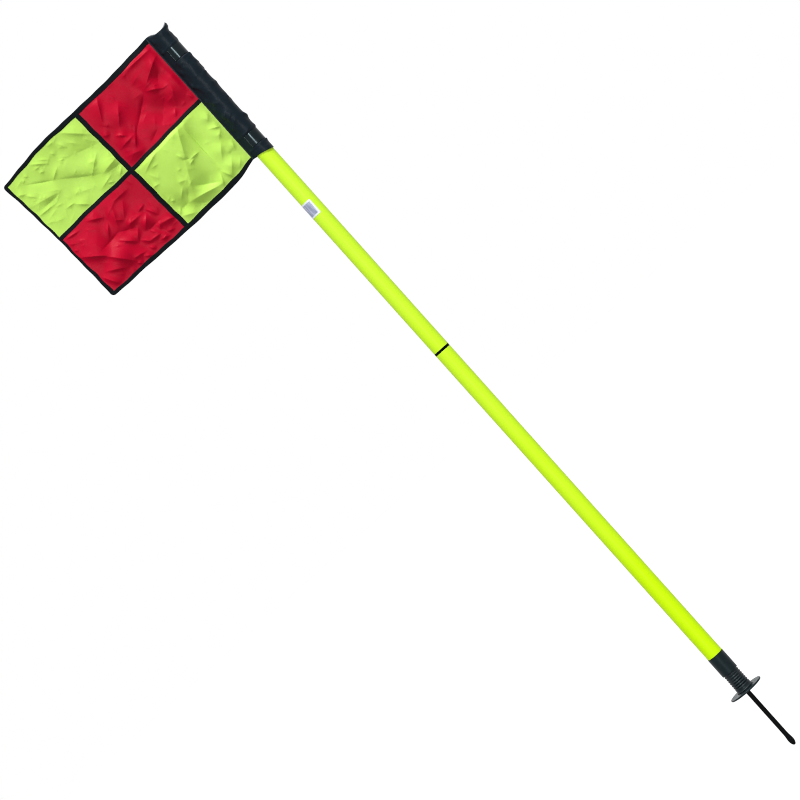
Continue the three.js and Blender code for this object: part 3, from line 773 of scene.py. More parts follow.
def poleConnector():
    low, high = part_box("pole_connector")
    inner, tip = spigotRadius - socket["plugWall"], socket["spigotChamfer"]
    piece = turn("connector", [
        (inner, low.z),
        (spigotRadius - tip, low.z),
        (spigotRadius, low.z + tip),
        (spigotRadius, lowerHigh.z),
        (tubeRadius, lowerHigh.z),
        (tubeRadius, upperLow.z),
        (spigotRadius, upperLow.z),
        (spigotRadius, high.z - tip),
        (spigotRadius - tip, high.z),
        (inner, high.z),
    ], tube["sides"])
    finishPiece(piece, "collar", bevel=0.2 * mm, flats=True)
    carry(piece, "connector", "black_plastic", "pole_connector")


label = {
    "gap": 0.05 * mm,
    "thickness": 0.16 * mm,
    "start": math.radians(135),  # from +X round by +Y
    "angle": math.radians(146.25),
    "steps": 60,
    "rows": 12,
    "corner": 2 * mm,
}


def poleLabel():
    radius = tubeRadius + label["gap"]
    height = labelHigh.z - labelLow.z
    width = label["angle"] * radius
    points, uvs = [], []
    for j in range(label["rows"] + 1):
        for i in range(label["steps"] + 1):
            along, up = width * i / label["steps"], height * j / label["rows"]
            # The four corners are cut round.
            side = min(along, width - along)
            edge = max(0.0, 1 - side / label["corner"])
            inset = label["corner"] * (1 - math.sqrt(max(0.0, 1 - edge * edge)))
            up = mix(inset, height - inset, up / height)
            angle = label["start"] + along / radius
            points.append((radius * math.cos(angle), radius * math.sin(angle), labelLow.z + up))
            uvs.append((along, up))
    piece = meshFrom("label", points, gridFaces(label["steps"], label["rows"]), uvs)
    applyModifier(piece, "SOLIDIFY", thickness=label["thickness"], offset=1.0)
    finishPiece(piece, stickerFilm(width, height))
    carry(piece, "upper_pole", "label_film", "pole_label")


# Flag: its lines, as in the part's source

flagCloth = {
    "fly": 336 * mm,
    "hoist": 271 * mm,
    "thickness": 0.3 * mm,
    "cell": 0.82 * mm,
    "tuck": 2.2 * mm,  # how far a panel runs under its tapes
    "seamTuck": 1.6 * mm,  # and into the sleeve
    "panelWidth": 0.165,
    "panelHeight": 0.135,
    "bindingWidth": 9 * mm,
    "hoistTapeWidth": 8.5 * mm,
    "crossTapeWidth": 7.2 * mm,
    "foldDepth": 4 * mm,
    "foldEnds": 0.4,  # share of its length over which a fold fades at each end
    "foldKept": 0.3,  # share of the soft folds, the rest is in the sharp creases
    "waveDepth": 5 * mm,
    "stillShare": 0.12,  # share of the fly over which the folds set in
    "bendStart": 0.5 * mm,  # the bend at the seam starts this far inside the sleeve
    "bendEnd": 13 * mm,  # and ends this far out on the flag
}
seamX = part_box("panel_top_inner")[1].x + 0.15 * mm
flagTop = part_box("edge_binding")[1].z
topEdgeShares = [(0, 0), (0.23, 0.026), (0.52, 0.043), (0.73, 0.047), (0.87, 0.069), (1.02, 0.096)]
middleTapeShares = [(0, 0.493), (0.23, 0.514), (0.49, 0.536), (0.74, 0.541), (1, 0.558)]
bottomEdgeShares = [
    (0, 0.999), (0.1, 1.034), (0.23, 1.047), (0.48, 1.053), (0.7, 1.052), (1, 1.056),
]
hoistTapeShares = [(0.07, 0.493), (0.54, 0.474), (1.02, 0.453)]
flyEdgeShares = [(0.1, 1.022), (0.32, 1.003), (0.54, 0.989), (0.8, 0.979), (1.03, 0.973)]
topBindingShares = [(0, 1.08), (0.49, 0.98), (0.8, 0.8), (1, 0.62)]
flyBindingShares = [(0.1, 0.66), (0.54, 0.5), (0.8, 0.58), (1.03, 0.85)]
bottomBindingShares = [(0, 0.7), (0.12, 1), (0.3, 1.08), (0.48, 0.88), (0.8, 0.8), (1, 0.6)]
foldShares = [
    (0.03, 0.16, 0.4, 0.46, 0.05, -0.9),
    (0.1, 0.02, 0.33, 0.36, 0.045, 0.8),
    (0.12, 0.53, 0.36, 0.86, 0.05, 0.9),
    (0.14, 1, 0.4, 0.84, 0.05, -0.9),
    (0.52, 0.5, 0.86, 0.12, 0.05, -1),
    (0.62, 0.12, 0.97, 0.34, 0.045, 0.8),
    (0.56, 0.62, 0.76, 0.98, 0.05, 0.9),
    (0.92, 0.64, 0.72, 1, 0.045, -1),
]
waveShares = (0.85, 0.45, 0.3)


def along(table, share):
    # A smooth curve through a table of (share, value), straight past its ends
    at = np.array([row[0] for row in table], float)
    value = np.array([row[1] for row in table], float)
    slope = np.empty(len(at))
    slope[1:-1] = (value[2:] - value[:-2]) / (at[2:] - at[:-2])
    slope[0] = (value[1] - value[0]) / (at[1] - at[0])
    slope[-1] = (value[-1] - value[-2]) / (at[-1] - at[-2])
    share = np.asarray(share, float)
    k = np.clip(np.searchsorted(at, share) - 1, 0, len(at) - 2)
    span = at[k + 1] - at[k]
    s = (share - at[k]) / span
    curve = value[k] + (value[k + 1] - value[k]) * (3 - 2 * s) * s * s
    curve = curve + span * s * (1 - s) * (slope[k] * (1 - s) - slope[k + 1] * s)
    curve = np.where(s < 0, value[0] + slope[0] * (share - at[0]), curve)
    return np.where(s > 1, value[-1] + slope[-1] * (share - at[-1]), curve)


def flyShare(x):
    return (seamX - x) / flagCloth["fly"]


def hoistShare(z):
    return (flagTop - z) / flagCloth["hoist"]


def drop(table):
    return lambda u: flagTop - flagCloth["hoist"] * along(table, u)


def reach(table):
    return lambda v: seamX - flagCloth["fly"] * along(table, v)


def shifted(line, offset):
    return lambda share: line(share) + offset


def uneven(line, seed, size):
    # A line that wanders a little, size in mm, as hand-guided stitching does
    draw = random.Random(seed)
    waves = [(draw.uniform(5, 9), draw.uniform(0, 6)), (draw.uniform(13, 19), draw.uniform(0, 6))]

    def wandering(share):
        share = np.asarray(share, float)
        return line(share) + sum(
            size * mm * np.sin(rate * share * math.pi + start) for rate, start in waves
        )
    return wandering


topEdge = uneven(drop(topEdgeShares), 1, 0.25)
bottomEdge = uneven(drop(bottomEdgeShares), 2, 0.25)
flyEdge = uneven(reach(flyEdgeShares), 3, 0.25)


def inward(line, table, sign, seed):
    # The inner edge of the binding, as far from its outer edge as the table says
    def edge(share):
        return line(share) + sign * flagCloth["bindingWidth"] * along(table, share)
    return uneven(edge, seed, 0.35)


topBindingEdge = inward(topEdge, topBindingShares, -1, 4)
bottomBindingEdge = inward(bottomEdge, bottomBindingShares, 1, 5)
flyBindingEdge = inward(flyEdge, flyBindingShares, 1, 6)


def seamLine(v):
    # The line where the flag is sewn to its sleeve
    return seamX + 0 * np.asarray(v, float)


hoistTapeNear = uneven(reach(hoistTapeShares), 7, 0.3)
hoistTapeFar = shifted(hoistTapeNear, -flagCloth["hoistTapeWidth"])
crossTapeUpper = uneven(drop(middleTapeShares), 8, 0.3)
crossTapeLower = shifted(crossTapeUpper, -flagCloth["crossTapeWidth"])


def crossing(hoistLine, flyLine):
    # Where a line along the hoist meets a line along the fly
    x, z = hoistLine(0.5), flyLine(0.5)
    for _ in range(6):
        z = flyLine(flyShare(x))
        x = hoistLine(hoistShare(z))
    return x, z


# Sharp creases, traced from the photograph. Each quarter has a window, given in shares of
# the fly and of the hoist, and how strong its creases are. Each crease is a ridge between two
# places in hundredths of that window: across and down at one end, and then at the other. Then
# come where along it the ridge is highest, how far the cloth takes to fall away below and above
# it in mm, and how high it stands in mm, less than nothing for a furrow. The light comes from
# above, so the side below a ridge is the dark one.
creaseWindows = {
    "topInner": (0, 0.5, 0, 0.53, 2.5),
    "bottomInner": (0, 0.5, 0.5, 1.06, 2.7),
    "topOuter": (0.46, 1.02, 0.02, 0.58, 1.9),
    "bottomOuter": (0.46, 1.02, 0.52, 1.07, 2.7),
}
creases = {
    "topInner": [
        (42, 12.5, 105, 12.5, 0.6, 9, 8, 3.2),
        (54, 30.5, 82, 24.5, 0.5, 12, 14, 1.5),
        (104, 18, 62, 46, 0.45, 8, 34, 4.0),
        (92, 32, 79, 50, 0.5, 8, 6, -1.1),
        (84, 40, 62, 44, 0.5, 10, 12, 1.7),
        (67, 43, 28, 78, 0.45, 24, 7, -3.3),
        (60, 36, 36, 68, 0.5, 40, 24, -2.2),
        (40, 66, 18, 92, 0.5, 12, 7, -1.5),
        (64, 45, 84, 58.5, 0.45, 4, 7, 1.6),
        (78, 56, 90, 58, 0.5, 4, 4, 0.6),
        (86, 54, 50, 95, 0.5, 30, 15, -3.4),
        (95, 45, 76, 88, 0.5, 20, 14, 4.6),
        (106, 48, 86, 58, 0.6, 22, 30, 2.4),
        (69, 94, 78, 81, 0.5, 5, 5, 1.3),
        (94, 79, 99, 90, 0.6, 4, 4, 1.0),
        (27, 10, 9, 48, 0.35, 5, 12, 2.2),
        (40, 31, 18, 64, 0.45, 8, 16, 3.0),
        (6, 77, 32, 74.5, 0.5, 5, 14, 1.8),
        (13, 60, 24, 72, 0.5, 4, 7, 1.5),
        (4, 87, 31, 96, 0.5, 12, 12, 2.6),
        (31, 73, 20, 90, 0.5, 4, 8, 1.7),
        (2, 50, 12, 57, 0.5, 6, 8, 1.2),
        (34, 12.5, 50, 14, 0.5, 4, 4, 0.5),
        (33, 96, 55, 86, 0.5, 10, 8, -1.4),
    ],
    "bottomInner": [
        (73, -12, 43, 58, 0.45, 13, 38, 7.6),
        (60, 16, 27, 88, 0.55, 19, 38, 7.8),
        (70, 6, 70, 80, 0.4, 12, 3, -1.8),
        (69, 4, 86, 10, 0.3, 22, 8, 1.6),
        (62, 6, 53, 16, 0.5, 7, 8, 0.8),
        (69.5, 84, 69.5, 10, 0.4, 3, 3, 0.5),
        (22, 76.5, 68, 88, 0.45, 9, 7, 2.9),
        (35, 65, 67, 87, 0.5, 6, 18, -2.6),
        (24, 77, 43, 93.5, 0.5, 10, 6, -1.3),
        (6, 78, 28, 76, 0.6, 9, 12, -2.0),
        (34, 63, 24, 77, 0.5, 6, 7, -1.0),
        (31, 59, 19, 71, 0.5, 3, 4, 0.6),
        (7, 81.5, 29, 93.5, 0.4, 7, 10, 1.5),
        (16, 73, 8, 82.5, 0.5, 4, 6, 0.9),
        (52, 43.5, 67, 43, 0.5, 2.5, 4, 0.8),
        (49, 48, 59, 44.8, 0.5, 2.5, 4, 0.8),
        (47, 38, 55, 43, 0.5, 4, 3, -0.6),
        (68, 73, 61, 91, 0.6, 4, 5, 1.2),
        (68.5, 73, 75, 91, 0.6, 4, 5, 1.2),
        (85, 30, 101, 39.5, 0.6, 4, 8, 1.3),
        (102, 11, 89, 28, 0.5, 8, 9, 1.3),
        (99, 36.5, 85, 51, 0.5, 8, 10, 1.6),
        (91, 46, 74, 71, 0.5, 8, 13, 1.9),
        (98, 54, 93, 70, 0.5, 5, 7, 1.1),
        (88, 68, 73, 89, 0.5, 8, 12, 1.9),
        (94, 75, 83, 89, 0.5, 7, 8, 1.0),
        (38, 10, 8, 22, 0.5, 5, 10, 1.3),
        (16, 22, 29, 23, 0.5, 4, 6, 0.5),
        (5, 38.5, 17, 40.5, 0.4, 4, 5, 0.7),
        (46, 28, 49.5, 40, 0.5, 3, 3, 0.7),
        (35, 43, 42, 44.5, 0.5, 4, 4, 0.4),
        (28, 53, 39, 58, 0.4, 6, 7, 0.9),
        (11, 62, 16, 66, 0.5, 3, 3, 0.5),
    ],
    "topOuter": [
        (29, 12.5, 46, 29, 0.5, 3.5, 6, 1.2),
        (38, 15, 48, 26, 0.5, 2.5, 2.5, 0.5),
        (12, 25, 42, 48, 0.6, 4, 3, -0.8),
        (36, 43, 79, 80, 0.5, 20, 4.5, -1.4),
        (51, 34.5, 36, 46, 0.6, 4, 7, 1.1),
        (65, 5, 94, 40, 0.55, 6, 10, 2.0),
        (46, 31, 98, 51, 0.65, 26, 12, -2.0),
        (86, 51, 64, 71.5, 0.5, 6, 9, 1.7),
        (71, 76.5, 98, 72, 0.55, 11, 9, 3.6),
        (73, 78, 98, 81, 0.55, 6, 9, -1.7),
        (61, 88.5, 82, 82, 0.6, 6, 6, 1.4),
        (83, 92, 93, 82, 0.5, 3, 4, 0.8),
        (71, 86, 79, 92, 0.5, 3, 4, 0.7),
        (3, 30.5, 14, 37.5, 0.4, 5, 7, 1.2),
        (9, 35, 18, 49, 0.5, 4, 5, 1.0),
        (2, 49, 39, 59.5, 0.55, 12, 14, 3.4),
        (10, 60.5, 38, 60, 0.5, 6, 9, -1.5),
        (3, 63.5, 31, 65.5, 0.4, 3.5, 5, 0.9),
        (22, 68.5, 32, 70, 0.5, 3, 3, 0.4),
        (28, 77, 41, 79, 0.5, 4, 5, 0.9),
        (36, 77.5, 50, 94, 0.5, 5, 8, 1.5),
        (11, 79, 26, 85, 0.5, 9, 8, 0.9),
        (6, 75, 17, 80, 0.5, 5, 6, 0.6),
        (19, 19, 24, 24, 0.5, 3, 4, 0.5),
        (15, 26, 20, 21.5, 0.5, 3, 3, 0.5),
        (30, 22, 38, 24, 0.5, 3, 4, 0.6),
        (32, 28, 38, 31.5, 0.5, 3, 4, 0.6),
        (52, 12, 62, 13.5, 0.5, 6, 5, 0.8),
        (51, 19, 55, 27, 0.5, 3, 4, 0.5),
        (61, 15, 67, 30, 0.5, 4, 6, 0.8),
        (51, 32, 59, 36, 0.5, 3, 3, 0.6),
    ],
    "bottomOuter": [
        (4, 34, 33, 62, 0.6, 8, 34, 4.6),
        (22, 49, 50, 92, 0.5, 9, 34, 5.2),
        (12, 48, 44, 90, 0.5, 24, 14, 2.0),
        (24, 51, 54, 46, 0.6, 16, 7, -2.2),
        (47, 45.5, 67, 57, 0.5, 12, 7, -1.8),
        (50, 28, 39, 47, 0.5, 4, 6, 1.3),
        (61, 20, 50, 49, 0.4, 8, 10, 2.4),
        (48, 27.5, 70, 15.5, 0.5, 9, 16, 2.2),
        (60, 17.5, 86, 17, 0.4, 6, 9, 1.4),
        (33, 12, 52, 25, 0.5, 5, 10, 1.7),
        (9, 13, 30, 17, 0.4, 4, 6, 1.1),
        (8, 19, 20, 28, 0.4, 6, 7, 0.9),
        (8, 28, 15, 34, 0.5, 5, 5, 0.7),
        (43, 51, 59, 71, 0.6, 4, 9, 1.7),
        (67, 54, 57, 72, 0.5, 5, 7, 1.5),
        (59, 68, 69, 82, 0.5, 5, 6, 1.4),
        (58, 48.5, 81, 48.5, 0.35, 9, 7, 2.4),
        (81, 50, 68, 67, 0.5, 12, 6, 3.0),
        (68, 68, 86, 67, 0.5, 6, 6, -1.2),
        (80, 70, 98, 76.5, 0.4, 8, 7, 2.2),
        (62, 77, 82, 80, 0.5, 6, 5, 1.6),
        (70, 65, 78, 80, 0.5, 5, 5, 1.1),
        (81, 45, 88, 64, 0.5, 4, 5, 1.2),
        (85, 67, 79, 77, 0.5, 4, 5, 1.1),
        (73, 45, 85, 41.5, 0.5, 4, 5, 0.9),
        (87, 71, 98, 77, 0.6, 5, 5, 1.0),
        (43, 80, 61, 84, 0.4, 5, 7, 1.3),
        (52, 85, 61, 93, 0.5, 4, 4, 1.0),
        (44, 86, 49, 92, 0.5, 3, 3, 0.7),
        (11, 68, 22, 94, 0.6, 5, 8, 1.9),
        (16, 69, 40, 86, 0.4, 6, 10, 1.8),
        (67, 43, 60, 54, 0.5, 4, 5, 0.9),
        (54, 33, 62, 42, 0.5, 3, 4, 0.6),
        (71, 84, 85, 88, 0.5, 4, 5, 0.9),
        (82, 82, 91, 86, 0.5, 4, 4, 0.7),
        (62, 81, 66, 90, 0.5, 4, 4, 0.8),
        (74, 87, 83, 84, 0.5, 3, 3, 0.5),
        (74, 18, 59, 46, 0.5, 8, 12, 1.7),
    ],
}
crumple = {
    "seed": 11,
    "count": 190,
    "length": (9, 34),  # mm
    "width": (1.7, 4.6),  # mm
    "slope": (0.08, 0.25),
    "angles": (0.75, 2.3),  # radians, one of the two
    "angleSpread": 0.55,
    "peak": (0.3, 0.7),
    "otherSide": (0.6, 1.6),  # how wide the far side is beside the near one
    "ridge": 0.3 * mm,  # how round the ridges are
    "tapeShare": 0.75,  # of the creases that the stiff tapes let through
    "tapeReach": 7 * mm,
    "seamReach": 10 * mm,
}


creaseForm = {
    "broad": 7 * mm,  # a crease wider than this starts to have flat sides
    "flatReach": 1.5,  # how far a flat side reaches, in widths of the crease
    "flatEnd": 0.3,  # how softly it ends there
    "narrow": 3,  # mm, up to here a crease takes all of its window's strength
    "narrowFade": 9,  # mm over which less and less of it is taken
    "crisp": 0.62,  # share of its width that a narrow crease keeps
    "litSide": 1.7,  # how much wider the side in the light is
}


def crumpleCreases():
    # Small creases all over the cloth, in the same form as the traced ones
    draw = random.Random(crumple["seed"])
    found = []
    for _ in range(crumple["count"]):
        u, v = draw.uniform(0.0, 1.0), draw.uniform(0.03, 1.03)
        length = draw.uniform(*crumple["length"]) * mm
        angle = draw.choice(crumple["angles"]) + draw.gauss(0, crumple["angleSpread"])
        width = draw.uniform(*crumple["width"])
        height = width * draw.uniform(*crumple["slope"])
        du = length * math.cos(angle) / flagCloth["fly"]
        dv = length * math.sin(angle) / flagCloth["hoist"]
        peak, other = draw.uniform(*crumple["peak"]), width * draw.uniform(*crumple["otherSide"])
        found.append((u, v, u + du, v + dv, peak, width, other, height))
    return found


def roofs(rows, a, b, ridge):
    # The height of a set of creases at places (a, b), b growing downwards, all in metres. Each is
    # crisp along its ridge and fades to both sides and to both ends.
    total = np.zeros_like(a)
    for a0, b0, a1, b1, peak, low, high, height in rows:
        runA, runB = a1 - a0, b1 - b0
        length = math.hypot(runA, runB)
        way = ((a - a0) * runA + (b - b0) * runB) / length**2
        aside = ((b - b0) * runA - (a - a0) * runB) / length
        if runA < 0:  # aside grows downwards
            aside = -aside
        rise = ease(way / peak) * ease((1 - way) / (1 - peak))
        width = np.where(aside > 0, low, high)
        far = (np.sqrt(aside**2 + ridge**2) - ridge) / width
        fall = np.exp(-far)
        broad = np.clip((width - creaseForm["broad"]) / creaseForm["broad"], 0, 1)
        if broad.any():  # the sides of a broad fold are flat
            edge, soft = creaseForm["flatReach"], creaseForm["flatEnd"]
            flat = np.logaddexp(0, (edge - far) / soft) / np.logaddexp(0, edge / soft)
            fall += (flat - fall) * broad
        total += height * rise * fall
    return total


def creaseRows():
    fly, hoist = flagCloth["fly"], flagCloth["hoist"]
    grouped = {"all": crumpleCreases()}
    for window, found in creases.items():
        u0, u1, v0, v1, strength = creaseWindows[window]
        rows = grouped[window] = []
        for across0, down0, across1, down1, peak, low, high, height in found:
            # The narrow creases take all of the window's strength, the broad folds little of it,
            # and the side in the light is always the gentler one.
            past = max(min(low, high) - creaseForm["narrow"], 0)
            narrow = math.exp(-past / creaseForm["narrowFade"])
            crisp = mix(1, creaseForm["crisp"], narrow)
            low, high = low * crisp, high * crisp
            if height > 0:
                high = high * creaseForm["litSide"]
            else:
                low = low * creaseForm["litSide"]
            rows.append((
                mix(u1, u0, across0 / 100), mix(v0, v1, down0 / 100),
                mix(u1, u0, across1 / 100), mix(v0, v1, down1 / 100),
                peak, low, high, height * mix(1, strength, narrow),
            ))
    return {
        window: [
            (u0 * fly, v0 * hoist, u1 * fly, v1 * hoist, peak, low * mm, high * mm, height * mm)
            for u0, v0, u1, v1, peak, low, high, height in rows
        ]
        for window, rows in grouped.items()
    }


allCreases = creaseRows()


def clothOffset(x, z):
    # How far the cloth stands off the plane y = 0, in metres, minus towards the front
    u, v = flyShare(x), hoistShare(z)
    fly, hoist = flagCloth["fly"], flagCloth["hoist"]
    shape = fly / hoist
    flyWaves, hoistWaves, start = waveShares
    soft = flagCloth["waveDepth"] * np.sin(2 * math.pi * (flyWaves * u + hoistWaves * v + start))
    fold = flagCloth["foldDepth"] * flagCloth["foldKept"]
    for u0, v0, u1, v1, width, depth in foldShares:
        runX, runZ = (u1 - u0) * shape, v1 - v0
        length = math.hypot(runX, runZ)
        x0, z0 = (u - u0) * shape, v - v0
        way = (x0 * runX + z0 * runZ) / length**2
        aside = (z0 * runX - x0 * runZ) / length
        fade = flagCloth["foldEnds"]
        ends = ease(way / fade + 0.5) * ease((1 - way) / fade + 0.5)
        soft = soft + fold * depth * np.exp(-((aside / width) ** 2)) * ends
    soft = soft * ease(u / flagCloth["stillShare"])
    near = np.minimum.reduce([
        np.abs(topBindingEdge(u) - z), np.abs(z - bottomBindingEdge(u)),
        np.abs(x - flyBindingEdge(v)), np.abs(x - hoistTapeNear(v)), np.abs(x - hoistTapeFar(v)),
        np.abs(z - crossTapeUpper(u)), np.abs(z - crossTapeLower(u)),
    ])
    onTape = (
        (z > topBindingEdge(u)) | (z < bottomBindingEdge(u)) | (x < flyBindingEdge(v))
        | ((x < hoistTapeNear(v)) & (x > hoistTapeFar(v)))
        | ((z < crossTapeUpper(u)) & (z > crossTapeLower(u)))
    )
    free = mix(crumple["tapeShare"], 1, np.where(onTape, 0, ease(near / crumple["tapeReach"])))
    free = free * ease((seamX - x) / crumple["seamReach"])
    # Each quarter's own creases fade out under the tapes round it.
    isTop = ease((z - crossTapeLower(u)) / flagCloth["crossTapeWidth"])
    isInner = ease((x - hoistTapeFar(v)) / flagCloth["hoistTapeWidth"])
    shares = {
        "all": 1, "topInner": isTop * isInner, "bottomInner": (1 - isTop) * isInner,
        "topOuter": isTop * (1 - isInner), "bottomOuter": (1 - isTop) * (1 - isInner),
    }
    sharp = sum(
        share * roofs(allCreases[window], u * fly, v * hoist, crumple["ridge"])
        for window, share in shares.items()
    )
    return soft - sharp * free


def bendAtSeam(piece):
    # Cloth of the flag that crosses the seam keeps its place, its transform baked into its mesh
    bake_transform(piece)


def hangOnFlag(piece, node, crossesSeam):
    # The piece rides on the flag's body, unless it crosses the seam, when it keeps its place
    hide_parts(node)
    if crossesSeam:
        bendAtSeam(piece)
    else:
        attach(piece, "flag")


def panel(name, near, far, upper, lower, colour, node):
    # A quarter of the flag: a grid laid between four lines, creased and given its thickness
    crossesSeam = near is seamLine
    columns = round(flagCloth["panelWidth"] / flagCloth["cell"])
    rows = round(flagCloth["panelHeight"] / flagCloth["cell"])
    bpy.ops.object.select_all(action="DESELECT")
    bpy.ops.mesh.primitive_grid_add(x_subdivisions=columns, y_subdivisions=rows, size=1)
    piece = bpy.context.object
    piece.name = name
    place, loops = readPlaces(piece.data)
    i, j = 0.5 - place[:, 0], 0.5 - place[:, 1]  # shares across and down the grid
    tuck = flagCloth["tuck"]
    nearLine = shifted(near, flagCloth["seamTuck"] if crossesSeam else tuck)
    farLine, upperLine, lowerLine = shifted(far, -tuck), shifted(upper, tuck), shifted(lower, -tuck)
    x, z = crossing(
        lambda v: mix(nearLine(v), farLine(v), i),
        lambda u: mix(upperLine(u), lowerLine(u), j),
    )
    y = clothOffset(x, z)
    piece.data.vertices.foreach_set("co", np.stack([x, y, z], 1).ravel())
    piece.data.uv_layers.active.data.foreach_set("uv", np.stack([x, z], 1)[loops].ravel())
    piece.data.update()
    cleanMesh(piece)
    applyModifier(piece, "SOLIDIFY", thickness=flagCloth["thickness"], offset=0.0)
    finishPiece(piece, colour, smooth=75)
    hangOnFlag(piece, node, crossesSeam)
    return piece


tape = {
    "half": 0.62 * mm,
    "bindingHalf": 0.72 * mm,
    "step": 1.6 * mm,
    "across": 12,
    "edgeShare": 0.5,  # thickness left at the edges
    "stitchInset": 1.3 * mm,
    "stitchDip": 0.14 * mm,
    "stitchWidth": 0.5 * mm,
    "pucker": 0.12 * mm,
    "puckerPeriod": 6.4 * mm,
    "tuckHalf": 0.3 * mm,  # where it goes between the sleeve's two layers
    "tuckStart": 0.6 * mm,  # it thickens from this far inside the seam
    "tuckRun": 3 * mm,
    "edgeWidth": 1.1 * mm,
    "foldWidth": 1.2 * mm,  # where it is folded over the cloth's edge
    "foldShare": 0.92,
    "seamGap": 1.2 * mm,  # how far inside the seam a tape starts
    "lap": 1.5 * mm,  # how far one tape runs under another
    "crossShare": 0.9,  # thickness of the cross tapes beside the others
}


def tapeHalf(inset, width, roundOuter, full):
    # Half the thickness of a tape at a distance from its outer edge
    fromInner = width - inset
    fromEdge = fromInner if roundOuter else np.minimum(inset, fromInner)
    edge = np.minimum(fromEdge, tape["edgeWidth"]) / tape["edgeWidth"]
    half = full * mix(tape["edgeShare"], 1, np.sqrt(np.clip(edge, 0, 1)))
    if roundOuter:  # the tape is folded over the edge of the cloth here
        bend = np.clip(1 - inset / tape["foldWidth"], 0, 1)
        half = half * np.sqrt(np.clip(1 - tape["foldShare"] * bend**2, 0, 1))
    rows = [width - tape["stitchInset"]] + ([] if roundOuter else [tape["stitchInset"]])
    for row in rows:
        half = half - tape["stitchDip"] * np.exp(-(((inset - row) / tape["stitchWidth"]) ** 2))
    return half


def layTape(name, node, outer, inner, roundOuter, crossesSeam, full):
    # A tape between two rows of (x, z) points, on both faces of the cloth. Returns it with its
    # rows of stitches
    outer, inner = np.array(outer), np.array(inner)
    stations, across = len(outer), tape["across"]
    middle = (outer + inner) / 2
    run = runAlong(middle)
    share = np.concatenate([[0, 0.05], np.linspace(0.1, 0.9, across - 3), [0.95, 1]])
    width = np.linalg.norm(inner - outer, axis=1)[:, None]
    flat = outer[:, None, :] * (1 - share[None, :, None]) + inner[:, None, :] * share[None, :, None]
    x, z = flat[..., 0], flat[..., 1]
    offset = clothOffset(x, z)
    half = tapeHalf(share[None, :] * width, width, roundOuter, full)
    pucker = tape["pucker"] * np.sin(2 * math.pi * run / tape["puckerPeriod"])
    half = half + pucker[:, None] * np.sin(math.pi * share)[None, :]
    tucked = ease((seamX + tape["tuckStart"] - x) / tape["tuckRun"])
    half = mix(np.minimum(half, tape["tuckHalf"]), half, tucked)
    front = np.stack([x, offset - half, z], -1)
    back = np.stack([x, offset + half, z], -1)
    ring = np.concatenate([front, back[:, ::-1]], axis=1)
    faces = tubeFaces(ring.shape[1], stations)
    down = share[None, :] * width
    uv = np.stack([np.repeat(run[:, None], share.size, 1), down], -1)
    uv = np.concatenate([uv, uv[:, ::-1]], axis=1)
    piece = meshFrom(name, ring.reshape(-1, 3), faces, uv.reshape(-1, 2))
    cleanMesh(piece, 0.01 * mm)
    finishPiece(piece, "tape", smooth=60)
    hangOnFlag(piece, node, crossesSeam)
    lines = []
    insets = [width[:, 0] - tape["stitchInset"]]
    if not roundOuter:
        insets.append(np.full(stations, tape["stitchInset"]))
    for inset in insets:
        at = (inset / width[:, 0])[:, None]
        row = outer * (1 - at) + inner * at
        depth = tapeHalf(inset, width[:, 0], roundOuter, full)
        rowOffset = clothOffset(row[:, 0], row[:, 1])
        for side in (-1, 1):
            line = np.stack([row[:, 0], rowOffset + side * depth, row[:, 1]], 1)
            lines.append((line, (0, side, 0)))
    return piece, lines


stitch = {
    "pitch": 3.1 * mm,
    "length": 2.3 * mm,
    "radius": 0.17 * mm,
    "sides": 6,
    # along it, how thick and how high each section is, in half lengths and radii
    "profile": [(-1, 0.35, -1.2), (-0.72, 0.95, 0), (0.72, 0.95, 0), (1, 0.35, -1.2)],
}


def sew(name, lines):
    # Rows of short thread stitches along (points, outward direction) lines, in one mesh
    points, faces = [], []
    sides = stitch["sides"]
    single = tubeFaces(sides, len(stitch["profile"]))
    for line, outward in lines:
        line = np.asarray(line, float)
        run = runAlong(line)
        places = np.arange(stitch["pitch"] / 2, run[-1] - stitch["pitch"] / 2, stitch["pitch"])
        for place in places:
            ends = [place - stitch["length"] / 2, place + stitch["length"] / 2]
            tail, head = [np.array([np.interp(e, run, line[:, k]) for k in range(3)]) for e in ends]
            way = (head - tail) / 2
            up = np.asarray(outward if not callable(outward) else outward((head + tail) / 2), float)
            up = up - way * (up @ way) / (way @ way)
            up /= np.linalg.norm(up)
            side = np.cross(way / np.linalg.norm(way), up)
            first = len(points)
            for step, size, sink in stitch["profile"]:
                middle = (head + tail) / 2 + way * step + up * stitch["radius"] * sink
                for k in range(sides):
                    angle = 2 * math.pi * k / sides
                    offset = side * math.cos(angle) + up * math.sin(angle)
                    points.append(middle + offset * stitch["radius"] * size)
            faces += [tuple(first + corner for corner in face) for face in single]
    piece = meshFrom(name, points, faces, np.array(points)[:, [0, 2]])
    cleanMesh(piece)
    finishPiece(piece, "thread", smooth=80)
    print(name, "sewn:", len(faces) // len(single), "stitches")
    return piece


def flyRows(upper, lower, fromX, toX):
    # Stations of a tape that runs along the fly between two lines
    count = max(2, round(abs(toX - fromX) / tape["step"]))
    xs = np.linspace(fromX, toX, count + 1)
    u = flyShare(xs)
    return np.stack([xs, upper(u)], 1), np.stack([xs, lower(u)], 1)


def hoistRows(near, far, fromZ, toZ):
    # The same for a tape that runs along the hoist
    count = max(2, round(abs(toZ - fromZ) / tape["step"]))
    zs = np.linspace(fromZ, toZ, count + 1)
    v = hoistShare(zs)
    return np.stack([near(v), zs], 1), np.stack([far(v), zs], 1)


